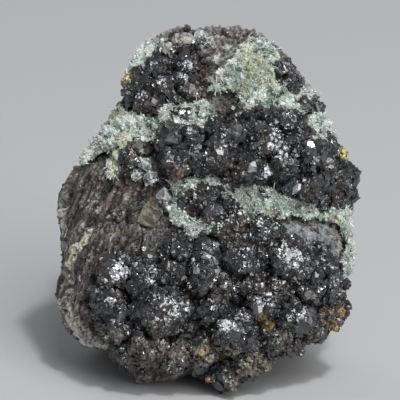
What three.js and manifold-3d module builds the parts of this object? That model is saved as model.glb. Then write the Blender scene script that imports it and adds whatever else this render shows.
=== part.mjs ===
// A hand specimen of sphalerite: black crystal clusters and pale green quartz druse, grown on a
// broken piece of host rock. Millimetres, +Z up, +X to the right of someone facing its best side.
import * as THREE from 'three';
import { ConvexGeometry } from 'three/addons/geometries/ConvexGeometry.js';
import { mergeVertices } from 'three/addons/utils/BufferGeometryUtils.js';
import Module from 'manifold-3d';

const wasm = await Module();
wasm.setup();

// Driving dimensions
const VIEW_TILT = THREE.MathUtils.degToRad(20); // a viewer of the best side looks down at this angle
const CONTACT_DEPTH = -12; // how far in front of the middle the specimen's foot touches the ground
const GAP = 0.3; // clearance between neighbouring solids
const DRUSE_THICKNESS = 1.7; // of the quartz crust over the host rock
const CRYSTAL_PROUD = 0.2; // how far a crystal's middle stands off the rock, in radii
const CLUSTER_SPREAD = 1.14; // crystals grown into each other are this much wider than they look
const CRYSTAL_BLUNTNESS = 0.85; // distance of a crystal's faces from its middle, in its radii
const CRYSTAL_UNEVENNESS = 0.16; // by how much two of its widths may differ
const CRUST_BACK = 5; // how deep behind the middle a crust wraps round the rim
const CRUST_FRONT = -40; // how far in front of the middle it may lie
const BLOCK_SUNK = 0.12; // how deep the carbonate block's middle lies in the rock, in its sizes

// The best side is laid out as that viewer sees it: across from the middle, up from the lowest point,
// and depth away from the viewer. The outline of the host rock, with the depth of its rim.
const OUTLINE = [
  [-4.6, 5.6, -10], [-10, 3, -10], [-16, 0.6, -9.5], [-23, 5.4, -5], [-30, 12, 0], [-38, 14, 4],
  [-44, 21, 5], [-45, 27, 4], [-43.2, 36, 3], [-44.2, 45, 3], [-44.6, 57, 3], [-40.2, 65.2, 4], [-33, 72, 5],
  [-28, 79, 6], [-24.4, 87, 7], [-23.2, 94, 8], [-20, 101.8, 8], [-14.4, 108, 8], [-4, 109.3, 8],
  [13, 109.2, 8], [19, 105, 8], [25.5, 97, 8], [31.4, 88.6, 7], [35, 81, 6], [37.4, 74, 4],
  [41.4, 65, 3], [42.4, 58, 2], [41.2, 50, 2], [41.6, 43, 2], [41.8, 37, 2], [39.6, 29, 0],
  [38.2, 21, -2], [30.5, 15, -4], [22.5, 9.4, -6], [12, 3.6, -9], [5.6, 0.4, -11], [0, 3.4, -10.5],
];
const OUTLINE_CENTRE = [0, 52];

// How deep the front and the back of the host rock lie at each height, as [up, depth]
const FRONT_PROFILE = [
  [0, -13], [8, -19], [20, -23], [36, -22], [46, -18], [52, -12], [60, -10.5], [67, -15.5],
  [78, -14.5], [85, -8.5], [93, -7.5], [104, 0], [109, 5],
];
const BACK_PROFILE = [[0, 34], [25, 34], [55, 28], [80, 21], [100, 15], [109, 13]];
const FRONT_SQUARENESS = 3.2; // exponent of the rounding from the rim to the front
const BACK_SQUARENESS = 3.6;
const AROUND = 40; // steps round the outline
const FRONT_RINGS = 7;
const BACK_RINGS = 4;
const ROCK_ROUGHNESS = 1.1; // height of the rock's bumps
const ROCK_GRAIN = 13; // width of the rock's bumps

// Broken faces behind the rim, as [outward normal, distance of the plane from the break centre]
const BREAK_CENTRE = new THREE.Vector3(0, 20, 48);
const BREAKS = [
  [[-0.72, 0.66, 0.2], 40],
  [[0.8, 0.55, 0.22], 41],
  [[0.1, 0.96, 0.24], 39],
  [[-0.4, 0.91, -0.1], 23],
  [[0.3, 0.94, -0.2], 22.5],
  [[0.1, 0.8, -0.6], 33],
  [[-0.25, 0.72, 0.64], 53],
];

// Sphalerite crystals that have grown into each other, as [across, up, radius]
const SPHALERITE = {
  crown: [
    [-7.2, 102.6, 3.4], [-11.1, 100.5, 3], [-14.1, 95.4, 4], [-6.6, 96.6, 3.6], [-10.2, 97.2, 2.8],
    [-17.1, 90.6, 3.6], [-12.4, 89.6, 4], [-7, 90.4, 3.8], [-20.4, 93, 3], [-21.7, 87.8, 2.8],
    [-17.6, 86.2, 3], [-13.2, 86.4, 2.6], [-9.2, 87.6, 2.6],
  ],
  bead: [[-6.8, 81.6, 2.3]],
  belt: [
    [5.4, 84.8, 4.2], [1.8, 87, 2.2], [11.6, 79.4, 3.6], [18.2, 79.8, 3.2], [24.6, 79.4, 3.4],
    [27, 76.4, 3], [-11.1, 75, 3.6], [-3.8, 75.6, 3.2], [2.4, 77.6, 3], [3.9, 73.4, 3.6],
    [-4.2, 72, 3.4], [8.4, 76, 4], [15.6, 75.8, 3.6], [19.8, 72.8, 3.8], [14.1, 72.4, 3.4],
    [-8.7, 69, 4.2], [-0.8, 69, 4.2], [5.4, 68.6, 4], [11.4, 67.3, 4.4], [16.8, 67, 3.4],
    [22.2, 67.5, 4.2], [25.5, 73.4, 3.6], [29.4, 70, 4], [32.2, 71.8, 2.6], [6.9, 63.8, 2.6],
    [24.8, 62.4, 3], [30.6, 61.2, 4.4], [35, 58.2, 2.6], [34.7, 66.2, 3.2],
    [36.2, 72.6, 2.8], [38.2, 68.4, 2.9], [40.4, 63.4, 4], [41.2, 58.8, 2.9],
    [37.4, 57.4, 2.8],
  ],
  shoulder: [[23, 95.4, 2.7], [24.6, 91.8, 2.5]],
  right_cap: [[28.8, 85, 1.9], [31.8, 84.4, 1.9]],
  pocket: [
    [-0.6, 58.4, 3.8], [1.5, 53.6, 3.2], [5.7, 55.6, 2.8], [-3, 54.6, 2.8], [-6.4, 55.6, 2.4],
    [2.1, 50.4, 2.2],
  ],
  left_flank: [[-22.5, 70, 2.6], [-19.8, 72.2, 1.9]],
  base: [
    [8.1, 45.8, 5.4], [16.5, 45.6, 4.6], [11.1, 38.7, 5.2], [24, 38.1, 5.6], [33.8, 37.2, 3.4],
    [-0.3, 40.3, 4.6], [-8.2, 41.2, 3.8], [-1.2, 33.3, 4.2], [-26.4, 35.7, 5], [-18.3, 33.2, 4.8],
    [-28.6, 27, 4.8], [-13.8, 24.6, 6.8], [8.1, 19.4, 6.2], [2.4, 25.6, 4.2], [15.9, 26.7, 4.8],
    [25.8, 23.2, 5.4], [36, 24.4, 4.2], [35.4, 31.2, 4.3], [13.5, 32.2, 4.2], [19.8, 17.2, 4.6],
    [24.6, 15.6, 3.6], [12.3, 10.4, 4.4], [5.4, 5.4, 3.8], [-2.6, 10.2, 3.4], [-9.3, 11.6, 4.2],
    [-22.4, 12.4, 4], [-16.4, 5.6, 3.8], [-10.8, 35, 3.8], [5, 30.6, 4],
    [-26.8, 20.2, 4.2], [-17, 15, 4.8], [-1.4, 13, 4.4], [29.2, 30.4, 4.2], [31, 19.4, 3.4],
    [20.8, 31, 3.8],
  ],
};

// Outlines of the quartz crusts on the host rock, as [across, up]
const DRUSE = {
  crown_left: [
    [-17, 106], [-13.5, 105.5], [-17, 98], [-22, 93], [-26, 92.5], [-26, 96], [-23, 99.5], [-21, 103],
  ],
  crown_right: [
    [10.5, 105], [13.5, 106], [17.5, 105], [22.5, 100.5], [20, 98], [20, 93], [27, 88.5], [30, 92],
    [35, 89], [35.5, 87], [27.6, 82.2], [10, 82], [9, 89], [1, 90.4], [0.5, 93], [4.5, 95.5],
    [7.5, 99.5],
  ],
  right_shoulder: [
    [28.4, 81.6], [31, 83], [38, 84.6], [39.6, 79], [38.4, 75.4], [34, 73.6], [31, 75], [29, 78.6],
  ],
  left_shoulder: [
    [-27, 88], [-24.5, 83.5], [-17, 81.8], [-12.5, 80.6], [-15.5, 74.5], [-19, 74.6], [-23.5, 73.2],
    [-26, 70.5], [-26.5, 65.5], [-29, 64], [-28.5, 72], [-35, 70.5], [-37, 68], [-40, 70],
    [-37, 73], [-34, 78], [-31, 82], [-29, 86.5],
  ],
  saddle: [
    [-14.6, 81], [-13.6, 84.6], [-8, 85.6], [-4, 86.8], [-0.6, 86], [2.6, 81.4], [1.6, 79.2], [-4, 78],
    [-11.8, 78.6], [-12, 80],
  ],
  belt: [
    [-11.5, 63], [-5, 63.5], [2, 63.6], [10, 62.6], [24, 59.4], [28, 57], [35.5, 55], [40, 54], [46, 55],
    [46.5, 50], [46, 43.5], [47, 38.5], [45, 35], [41, 35], [40.5, 39.5], [42.5, 43.5], [40, 49.5],
    [34, 51.2], [23.5, 52.5], [15, 51.2], [4.5, 50.6], [0.5, 47], [-4.5, 46], [-10.5, 51], [-12.5, 55.5],
    [-10, 59],
  ],
};

// Clear quartz crystals, as [across, up, radius, length, lean across, lean up]
const QUARTZ_POINTS = {
  left: [
    [-18.4, 67.6, 1.9, 6.6, -0.5, 0.5], [-17, 64.2, 2.4, 6.6, 0.3, -0.2],
    [-20.6, 65, 1.7, 5.6, -0.7, 0],
  ],
  belt: [
    [-17.8, 59.6, 2, 6.4, -0.4, 0.6], [-12.8, 57.4, 2.6, 8, 0.1, 0.9], [-15.6, 61, 1.5, 5.6, 0.1, 0.8],
  ],
  cap: [[-2, 106, 2.2, 5.6, 0.2, 0.5], [0.4, 104.6, 1.6, 5, 0.5, 0.2]],
};
const POINT_SIDES = 6;
const POINT_TIP = 0.34; // share of a quartz crystal's length that its pyramid takes
const POINT_SUNK = 0.45; // share of it that is rooted in the rock

// One blunt cleavage block of ankerite, as [across, up, size]
const CARBONATE_BLOCK = [-17, 52, 5.4];
const BLOCK_TURN = 0.45; // radians

// A position from what the viewer sees, in the specimen's own frame, with its foot at z 0
function seen(across, up, depth) {
  return new THREE.Vector3(
    across,
    up * Math.sin(VIEW_TILT) + depth * Math.cos(VIEW_TILT),
    up * Math.cos(VIEW_TILT) - (depth - CONTACT_DEPTH) * Math.sin(VIEW_TILT),
  );
}
const VIEW_DIRECTION = new THREE.Vector3(0, Math.cos(VIEW_TILT), -Math.sin(VIEW_TILT));
const SEEN_UP = new THREE.Vector3(0, Math.sin(VIEW_TILT), Math.cos(VIEW_TILT));

// A random number from 0 to 1 that always falls the same way for the same seed
function random(seed) {
  const s = Math.sin(seed * 127.1 + 311.7) * 43758.5453;
  return s - Math.floor(s);
}

// Smooth noise from -1 to 1 at a point of space
function noise(p) {
  const cell = [Math.floor(p.x), Math.floor(p.y), Math.floor(p.z)];
  const t = [p.x - cell[0], p.y - cell[1], p.z - cell[2]].map((v) => v * v * (3 - 2 * v));
  let sum = 0;
  for (let corner = 0; corner < 8; corner++) {
    const bit = [corner & 1, (corner >> 1) & 1, (corner >> 2) & 1];
    const share = bit.reduce((product, b, axis) => product * (b ? t[axis] : 1 - t[axis]), 1);
    const [i, j, k] = cell.map((c, axis) => c + bit[axis]);
    sum += share * random(i * 7.31 + j * 57.7 + k * 113.9);
  }
  return 2 * sum - 1;
}

// The value of a profile at a height, between its points
function along(profile, up) {
  const next = profile.findIndex(([height]) => height >= up);
  if (next === 0) return profile[0][1];
  if (next < 0) return profile.at(-1)[1];
  const [[lowUp, low], [highUp, high]] = [profile[next - 1], profile[next]];
  return THREE.MathUtils.mapLinear(up, lowUp, highUp, low, high);
}

// A closed three.js geometry as a solid
function solidOf(geometry) {
  const bare = geometry.clone();
  bare.deleteAttribute('normal');
  bare.deleteAttribute('uv');
  const merged = mergeVertices(bare, 1e-4);
  return new wasm.Manifold(new wasm.Mesh({
    numProp: 3,
    vertProperties: merged.attributes.position.array,
    triVerts: new Uint32Array(merged.index.array),
  }));
}

// A solid as a three.js geometry
function geometryOf(solid) {
  const { vertProperties, triVerts } = solid.getMesh();
  const geometry = new THREE.BufferGeometry();
  geometry.setAttribute('position', new THREE.BufferAttribute(vertProperties, 3));
  geometry.setIndex(new THREE.BufferAttribute(triVerts, 1));
  return geometry;
}

function joined(solids) {
  return solids.reduce((all, one) => all.add(one));
}

// The biggest body of a solid that a cut may have split
function biggestBody(solid) {
  return solid.decompose().reduce((best, body) => (body.volume() > best.volume() ? body : best));
}

// The host rock before it is broken: rings that shrink from the rim to the front and to the back.
// swell pushes its whole surface outwards.
function roundedRock(swell) {
  const rim = new THREE.CatmullRomCurve3(
    OUTLINE.map((point) => new THREE.Vector3(...point)), true, 'centripetal',
  ).getSpacedPoints(AROUND).slice(0, AROUND);
  const [centreAcross, centreUp] = OUTLINE_CENTRE;

  function ring(angle, profile, squareness) {
    const spread = Math.sin(angle) ** (2 / squareness);
    const fullness = Math.cos(angle) ** (2 / squareness);
    return rim.map((edge) => {
      const across = THREE.MathUtils.lerp(centreAcross, edge.x, spread);
      const up = THREE.MathUtils.lerp(centreUp, edge.y, spread);
      return seen(across, up, THREE.MathUtils.lerp(edge.z, along(profile, up), fullness));
    });
  }

  const rings = [];
  for (let i = 1; i <= FRONT_RINGS; i++) {
    rings.push(ring((i / FRONT_RINGS) * (Math.PI / 2), FRONT_PROFILE, FRONT_SQUARENESS));
  }
  for (let i = BACK_RINGS - 1; i >= 1; i--) {
    rings.push(ring((i / BACK_RINGS) * (Math.PI / 2), BACK_PROFILE, BACK_SQUARENESS));
  }
  const front = seen(centreAcross, centreUp, along(FRONT_PROFILE, centreUp));
  const back = seen(centreAcross, centreUp, along(BACK_PROFILE, centreUp));
  const points = [front, ...rings.flat(), back];

  const index = [];
  for (let j = 0; j < AROUND; j++) {
    const k = (j + 1) % AROUND;
    index.push(0, 1 + k, 1 + j);
    for (let i = 0; i < rings.length - 1; i++) {
      const [near, far] = [1 + i * AROUND, 1 + (i + 1) * AROUND];
      index.push(near + j, near + k, far + j, near + k, far + k, far + j);
    }
    const last = 1 + (rings.length - 1) * AROUND;
    index.push(last + j, last + k, points.length - 1);
  }
  const geometry = new THREE.BufferGeometry().setFromPoints(points);
  geometry.setIndex(index);
  geometry.computeVertexNormals();

  const { position, normal } = geometry.attributes;
  const point = new THREE.Vector3();
  const outward = new THREE.Vector3();
  for (let i = 0; i < position.count; i++) {
    point.fromBufferAttribute(position, i);
    outward.fromBufferAttribute(normal, i);
    const bump = ROCK_ROUGHNESS * noise(point.clone().divideScalar(ROCK_GRAIN));
    point.addScaledVector(outward, bump + swell);
    position.setXYZ(i, point.x, point.y, point.z);
  }
  return geometry;
}

// A big block whose near face is a plane: subtracting it breaks a solid off flat there
function beyondPlane(centre, direction, distance) {
  const side = 400;
  const block = new THREE.BoxGeometry(side, side, side);
  const normal = new THREE.Vector3(...direction).normalize();
  block.applyQuaternion(new THREE.Quaternion().setFromUnitVectors(new THREE.Vector3(0, 0, 1), normal));
  const middle = centre.clone().addScaledVector(normal, distance + side / 2);
  block.translate(middle.x, middle.y, middle.z);
  return solidOf(block);
}

const UNDERGROUND = beyondPlane(new THREE.Vector3(), [0, 0, -1], 0);

function hostRock(swell = 0) {
  const rounded = solidOf(roundedRock(swell));
  return BREAKS.reduce(
    (rock, [direction, distance]) => rock.subtract(beyondPlane(BREAK_CENTRE, direction, distance + swell)),
    rounded,
  );
}

const rock = hostRock();
const rockWithGap = hostRock(GAP);
const rockSurface = new THREE.Mesh(roundedRock(0));

// Where the viewer's line of sight meets the rock, and which way the rock faces there
function onRock(across, up) {
  const eye = seen(across, up, -200);
  const [hit] = new THREE.Raycaster(eye, VIEW_DIRECTION).intersectObject(rockSurface);
  if (!hit) throw new Error(`nothing of the rock is seen at ${across}, ${up}`);
  return { point: hit.point, normal: hit.face.normal.clone().normalize() };
}

// The corners of a rhombic dodecahedron, the twelve-faced form of sphalerite, one unit to its faces
const FACE_DISTANCE = Math.SQRT2;
const DODECAHEDRON_CORNERS = [-1, 1].flatMap((i) => [
  new THREE.Vector3(2 * i, 0, 0), new THREE.Vector3(0, 2 * i, 0), new THREE.Vector3(0, 0, 2 * i),
  ...[-1, 1].flatMap((j) => [-1, 1].map((k) => new THREE.Vector3(i, j, k))),
]).map((corner) => corner.divideScalar(FACE_DISTANCE));

// A blunt twelve-faced sphalerite crystal
function crystal([across, up, radius], seed, grown) {
  const { point, normal } = onRock(across, up);
  const size = radius * CLUSTER_SPREAD * CRYSTAL_BLUNTNESS;
  const width = size * (1 + CRYSTAL_UNEVENNESS * (random(seed) - 0.5));
  const height = size * (1 + CRYSTAL_UNEVENNESS * (random(seed + 0.3) - 0.5));
  const shape = new ConvexGeometry(DODECAHEDRON_CORNERS);
  shape.scale(size + grown, width + grown, height + grown);
  shape.rotateX(2 * Math.PI * random(seed + 0.5));
  shape.rotateZ(2 * Math.PI * random(seed + 0.7));
  point.addScaledVector(normal, radius * CRYSTAL_PROUD);
  shape.translate(point.x, point.y, point.z);
  return solidOf(shape);
}

function cluster(crystals, seed, grown = 0) {
  return joined(crystals.map((one, i) => crystal(one, seed + i * 1.37, grown)));
}

// A six-sided quartz crystal with a pyramid on its free end
function quartzPoint([across, up, radius, length, leanAcross, leanUp], grown) {
  const { point, normal } = onRock(across, up);
  const r = radius + grown;
  const half = length / 2 + grown;
  const shoulder = half - POINT_TIP * length;
  const profile = [[0, -half], [r, -half], [r, shoulder], [0, half]];
  const shape = new THREE.LatheGeometry(profile.map(([x, y]) => new THREE.Vector2(x, y)), POINT_SIDES);
  const lean = normal.clone();
  lean.x += leanAcross;
  lean.addScaledVector(SEEN_UP, leanUp).normalize();
  shape.applyQuaternion(new THREE.Quaternion().setFromUnitVectors(new THREE.Vector3(0, 1, 0), lean));
  point.addScaledVector(lean, (0.5 - POINT_SUNK) * length);
  shape.translate(point.x, point.y, point.z);
  return solidOf(shape);
}

function quartzGroup(points, grown = 0) {
  return joined(points.map((one) => quartzPoint(one, grown)));
}

function carbonateBlock(grown = 0) {
  const [across, up, size] = CARBONATE_BLOCK;
  const { point, normal } = onRock(across, up);
  const [width, depth, height] = [1, 1.25, 1.1].map((share) => share * size + 2 * grown);
  const shape = new THREE.BoxGeometry(width, depth, height);
  shape.rotateY(BLOCK_TURN);
  shape.rotateX(-BLOCK_TURN);
  point.addScaledVector(normal, -BLOCK_SUNK * size);
  shape.translate(point.x, point.y, point.z);
  return solidOf(shape);
}

// A crust of quartz that follows the rock inside an outline, as the viewer sees it
function crust(outline) {
  const shape = new THREE.Shape(outline.map(([across, up]) => new THREE.Vector2(across, up)));
  const prism = new THREE.ExtrudeGeometry(shape, { depth: CRUST_BACK - CRUST_FRONT, bevelEnabled: false });
  const position = prism.attributes.position;
  for (let i = 0; i < position.count; i++) {
    const nearness = position.getZ(i);
    const place = seen(position.getX(i), position.getY(i), CRUST_BACK - nearness);
    position.setXYZ(i, place.x, place.y, place.z);
  }
  return solidOf(prism).intersect(hostRock(DRUSE_THICKNESS + GAP));
}

// Each piece with its material, in the order in which neighbours give way: a later one is cut back
// by the grown form of every earlier one.
const MATERIALS = {
  rock: new THREE.MeshStandardMaterial({ color: 0x57504a, roughness: 0.8, metalness: 0 }),
  sphalerite: new THREE.MeshStandardMaterial({ color: 0x24252a, roughness: 0.28, metalness: 0.1 }),
  quartz: new THREE.MeshStandardMaterial({ color: 0xa9bcb0, roughness: 0.5, metalness: 0 }),
  carbonate: new THREE.MeshStandardMaterial({ color: 0x8d8574, roughness: 0.55, metalness: 0 }),
};

const specimen = new THREE.Group();
specimen.name = 'sphalerite_specimen';
const earlier = [{ grown: rockWithGap, box: null }];

function overlaps(a, b) {
  return b === null || a.min.every((low, axis) => low <= b.max[axis] && a.max[axis] >= b.min[axis]);
}

function addPiece(name, material, solid, grown) {
  const box = grown.boundingBox();
  const cutters = earlier.filter((other) => overlaps(box, other.box)).map((other) => other.grown);
  const cut = cutters.reduce((body, cutter) => body.subtract(cutter), solid).subtract(UNDERGROUND);
  const mesh = new THREE.Mesh(geometryOf(biggestBody(cut)), material);
  mesh.name = name;
  specimen.add(mesh);
  earlier.push({ grown, box });
}

const host = new THREE.Mesh(geometryOf(biggestBody(rock.subtract(UNDERGROUND))), MATERIALS.rock);
host.name = 'host_rock';
specimen.add(host);

Object.entries(SPHALERITE).forEach(([place, crystals], i) => {
  const seed = 10 + 100 * i;
  addPiece(
    `sphalerite_${place}`, MATERIALS.sphalerite,
    cluster(crystals, seed), cluster(crystals, seed, GAP),
  );
});
addPiece('carbonate_block', MATERIALS.carbonate, carbonateBlock(), carbonateBlock(GAP));
for (const [place, points] of Object.entries(QUARTZ_POINTS)) {
  addPiece(`quartz_points_${place}`, MATERIALS.quartz, quartzGroup(points), quartzGroup(points, GAP));
}
for (const [place, outline] of Object.entries(DRUSE)) {
  const piece = crust(outline);
  addPiece(`quartz_druse_${place}`, MATERIALS.quartz, piece, piece);
}

// The origin is under the middle of the specimen, on the ground
const extent = new THREE.Box3().setFromObject(specimen);
specimen.position.set(-(extent.min.x + extent.max.x) / 2, -(extent.min.y + extent.max.y) / 2, 0);

export default specimen;
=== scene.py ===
# %% [markdown]
# A sphalerite hand specimen. Black crystals of zinc ore and pale green quartz needles sit on a
# broken piece of banded rock. The solid model already settles where each cluster is, so this
# lesson only gives every piece its real skin: what grew, what broke and how each mineral shines.
# Work goes from the plain to the fine: rock first, then the crystals, then the needles.

# %% The frame and the tools
import math

import bmesh
import bpy
import numpy as np
from mathutils import Matrix, Vector, kdtree, noise
from mathutils.bvhtree import BVHTree


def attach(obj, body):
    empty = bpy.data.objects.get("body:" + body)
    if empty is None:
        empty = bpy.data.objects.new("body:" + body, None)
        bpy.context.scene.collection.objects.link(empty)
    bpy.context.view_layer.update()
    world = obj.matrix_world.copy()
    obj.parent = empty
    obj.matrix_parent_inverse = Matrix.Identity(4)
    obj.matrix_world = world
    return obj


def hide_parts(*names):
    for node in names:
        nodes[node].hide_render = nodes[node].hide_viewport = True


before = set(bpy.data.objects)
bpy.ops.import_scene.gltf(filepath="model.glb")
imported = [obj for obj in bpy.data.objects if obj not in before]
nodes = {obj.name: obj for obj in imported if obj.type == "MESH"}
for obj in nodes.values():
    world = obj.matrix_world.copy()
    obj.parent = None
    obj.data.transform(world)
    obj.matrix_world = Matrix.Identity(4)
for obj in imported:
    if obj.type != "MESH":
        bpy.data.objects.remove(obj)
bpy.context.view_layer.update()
MM = 0.001
print("solids in the frame:", len(nodes))

# %% [markdown]
# The specimen's best side faces a viewer who looks down at it by 20 degrees. Places on that side
# are easiest to give as that viewer sees them: across from the middle, up from the lowest point,
# and depth away from the viewer, all in millimetres. Two small functions turn one way and back.

# %% What the viewer sees
VIEW_TILT = math.radians(20)
CONTACT_DEPTH = -12.0
MIDDLE = Vector((-0.42, -13.08, 0.0))
SIN_TILT = math.sin(VIEW_TILT)
COS_TILT = math.cos(VIEW_TILT)
AWAY = Vector((0.0, COS_TILT, -SIN_TILT))


def seen(across, up, depth):
    """The place in the frame, in metres, of a spot that the viewer sees."""
    lift = (depth - CONTACT_DEPTH) * SIN_TILT
    return (Vector((across, up * SIN_TILT + depth * COS_TILT, up * COS_TILT - lift)) + MIDDLE) * MM


def as_seen(points):
    """Across, up and depth in millimetres of an array of places in metres."""
    x, y, z = (points / MM - np.array(MIDDLE)).T
    level = z - CONTACT_DEPTH * SIN_TILT
    return np.stack([x, y * SIN_TILT + level * COS_TILT, y * COS_TILT - level * SIN_TILT], axis=1)


# %% [markdown]
# The camera stands where the viewer stands. A long lens keeps the perspective as slight as it is
# on a close picture of a small thing taken from some way off. Most light falls softly from
# overhead. A small lamp beside it draws the sparkle on the facets, and a weak wide one at the
# front right lays a faint shadow behind the left flank. One more, behind, keeps the back from
# going black. The lamps stand well off, so that the floor is evenly lit. FLASH is the way that a
# crystal face looks when it mirrors the small lamp to the viewer.

# %% Camera, floor and light
PICTURE_WIDTH = 120.0
CAMERA_DISTANCE = 0.9
LOOK_AT = seen(-2.1, 57.0, -8.0)
LIT_POINT = (0.0, 0.0, 0.05)
SURROUNDING_LIGHT = 0.20
FLOOR_HALF = 4.0


def aim(thing, place, target):
    thing.location = place
    thing.rotation_euler = (target - place).to_track_quat("-Z", "Y").to_euler()
    bpy.context.scene.collection.objects.link(thing)


lens = bpy.data.cameras.new("camera")
lens.lens = lens.sensor_width * CAMERA_DISTANCE / (PICTURE_WIDTH * MM)
lens.clip_end = 20.0
camera = bpy.data.objects.new("camera", lens)
aim(camera, LOOK_AT - AWAY * CAMERA_DISTANCE, LOOK_AT)
bpy.context.scene.camera = camera
bpy.context.scene.view_settings.view_transform = "Standard"


def soft_light(name, place, size, power, colour):
    light = bpy.data.lights.new(name, "AREA")
    light.shape = "DISK"
    light.size = size
    light.energy = power
    light.color = colour
    aim(bpy.data.objects.new(name, light), Vector(place), Vector(LIT_POINT))


SPARKLE_PLACE = (0.45, -0.75, 1.8)
FLASH = ((Vector(SPARKLE_PLACE) - seen(0.0, 60.0, 0.0)).normalized() - AWAY).normalized()
soft_light("overhead", (0.7, -1.0, 1.75), 1.6, 20.0, (1.0, 0.99, 0.97))
soft_light("sparkle", SPARKLE_PLACE, 0.22, 14.0, (0.97, 0.98, 1.0))
soft_light("front right", (1.3, -1.3, 0.6), 1.0, 9.0, (0.99, 0.99, 1.0))
soft_light("behind", (-0.7, 1.5, 1.1), 1.2, 4.5, (0.98, 0.99, 1.0))

world = bpy.data.worlds.new("soft surroundings")
world.use_nodes = True
world.node_tree.nodes["Background"].inputs["Color"].default_value = (0.80, 0.82, 0.86, 1.0)
world.node_tree.nodes["Background"].inputs["Strength"].default_value = SURROUNDING_LIGHT
bpy.context.scene.world = world

floor_shape = bmesh.new()
bmesh.ops.create_grid(floor_shape, x_segments=1, y_segments=1, size=FLOOR_HALF)
floor_mesh = bpy.data.meshes.new("floor")
floor_shape.to_mesh(floor_mesh)
floor = bpy.data.objects.new("floor", floor_mesh)
bpy.context.scene.collection.objects.link(floor)
print("the picture is", PICTURE_WIDTH, "mm wide, seen from", CAMERA_DISTANCE, "m")

# %% [markdown]
# Each visible piece starts as a copy of its solid. The copy is merged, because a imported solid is
# loose triangles, and remeshed into small even faces that later steps can move. A modifier does
# the remeshing and is then applied, so the mesh itself holds the result. Nothing may sink below
# the floor, so a point that is moved there comes back up to it.

# %% Copies that can be worked on
MERGE_DISTANCE = 0.002


def show(name, mesh):
    piece = bpy.data.objects.new(name, mesh)
    bpy.context.scene.collection.objects.link(piece)
    return piece


def copy_of(name, node):
    shape = bmesh.new()
    shape.from_mesh(nodes[node].data)
    bmesh.ops.remove_doubles(shape, verts=shape.verts, dist=MERGE_DISTANCE * MM)
    mesh = bpy.data.meshes.new(name)
    shape.to_mesh(mesh)
    shape.free()
    return show(name, mesh)


def settle(piece):
    """Makes the modifiers' result the piece's own mesh."""
    graph = bpy.context.evaluated_depsgraph_get()
    result = bpy.data.meshes.new_from_object(piece.evaluated_get(graph))
    piece.modifiers.clear()
    old = piece.data
    piece.data = result
    bpy.data.meshes.remove(old)


def soften(piece, passes):
    smooth = piece.modifiers.new("soften", "SMOOTH")
    smooth.factor = 0.5
    smooth.iterations = passes


def remesh(piece, cell, smoothing=0):
    grid = piece.modifiers.new("even faces", "REMESH")
    grid.mode = "VOXEL"
    grid.voxel_size = cell * MM
    if smoothing:
        soften(piece, smoothing)
    settle(piece)


def thin_out(piece, kept):
    """Merges faces that lie nearly in one plane, until only a share of them is kept."""
    fewer = piece.modifiers.new("fewer faces", "DECIMATE")
    fewer.ratio = kept
    settle(piece)


def vectors(piece, kind):
    flat = np.empty(len(piece.data.vertices) * 3, dtype=np.float32)
    piece.data.vertices.foreach_get(kind, flat)
    return flat.reshape(-1, 3).astype(float)


def places(piece):
    return vectors(piece, "co")


def normals(piece):
    return vectors(piece, "normal")


def even_copy(name, node, cell, smoothing=0):
    """A copy of a solid in small even faces, with its points and the way each of them looks."""
    piece = copy_of(name, node)
    remesh(piece, cell, smoothing)
    return piece, places(piece), normals(piece)


def hollows(piece, passes):
    """How many millimetres deep each point lies in a hollow, and below 0 where it is on a bump.
    More passes of smoothing find wider hollows."""
    ghost = show("ghost", piece.data.copy())
    soften(ghost, passes)
    settle(ghost)
    deep = np.einsum("ij,ij->i", places(ghost) - places(piece), normals(piece)) / MM
    bpy.data.objects.remove(ghost)
    return deep


def move_to(piece, points):
    points[:, 2] = np.maximum(points[:, 2], 0.0)
    piece.data.vertices.foreach_set("co", points.astype(np.float32).ravel())
    piece.data.update()


def limited(values):
    """The values, cut off below 0 and above 1."""
    return np.clip(values, 0.0, 1.0)


def store(piece, name, values):
    layer = piece.data.attributes.new(name, "FLOAT", "POINT")
    layer.data.foreach_set("value", limited(values).astype(np.float32))


# %% [markdown]
# Stone breaks and crystals grow in flat faces, not in waves. The facets helper gives a skin such
# faces: it strews centres over the surface, tips a little plane at each one, and lays every
# point onto the plane of its nearest centre. Where the stone is banded, lengths along the bands
# are squeezed before the nearest centre is looked for, which turns the faces into splinters. The
# domes helper raises a round hump at each centre instead, and soft noise is used only for the
# larger swells. Both number their patches from 0 to 1, so that the finish can give each patch a
# tone of its own.

# %% Facets, domes and swells
def squeezed(points, stretch):
    """The points with all lengths along a direction divided by a factor."""
    direction, factor = stretch
    axis = np.array(direction)
    return points - np.outer(points @ axis, axis) * (1.0 - 1.0 / factor)


def swell_field(points, size, seed, stretch=None, octaves=3):
    """Noise from about -1 to 1 whose bumps are so many millimetres wide."""
    shifted = points / (size * MM) + seed * 17.3
    if stretch:
        shifted = squeezed(shifted, stretch)
    return np.array([noise.fractal(point, 0.5, 2.0, octaves) for point in shifted])


def nearest(points, centres):
    """For each point the number of its nearest centre, and how far off it is."""
    tree = kdtree.KDTree(len(centres))
    for number, centre in enumerate(centres):
        tree.insert(centre, number)
    tree.balance()
    found = [tree.find(point) for point in points]
    return np.array([number for _, number, _ in found]), np.array([far for _, _, far in found])


def scattered(points, cell, spacing, chance):
    """Points to serve as centres, so many millimetres apart on a mesh with faces one cell wide."""
    count = int(len(points) * (cell / spacing) ** 2)
    return chance.choice(len(points), min(max(count, 8), len(points)), replace=False)


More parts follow.
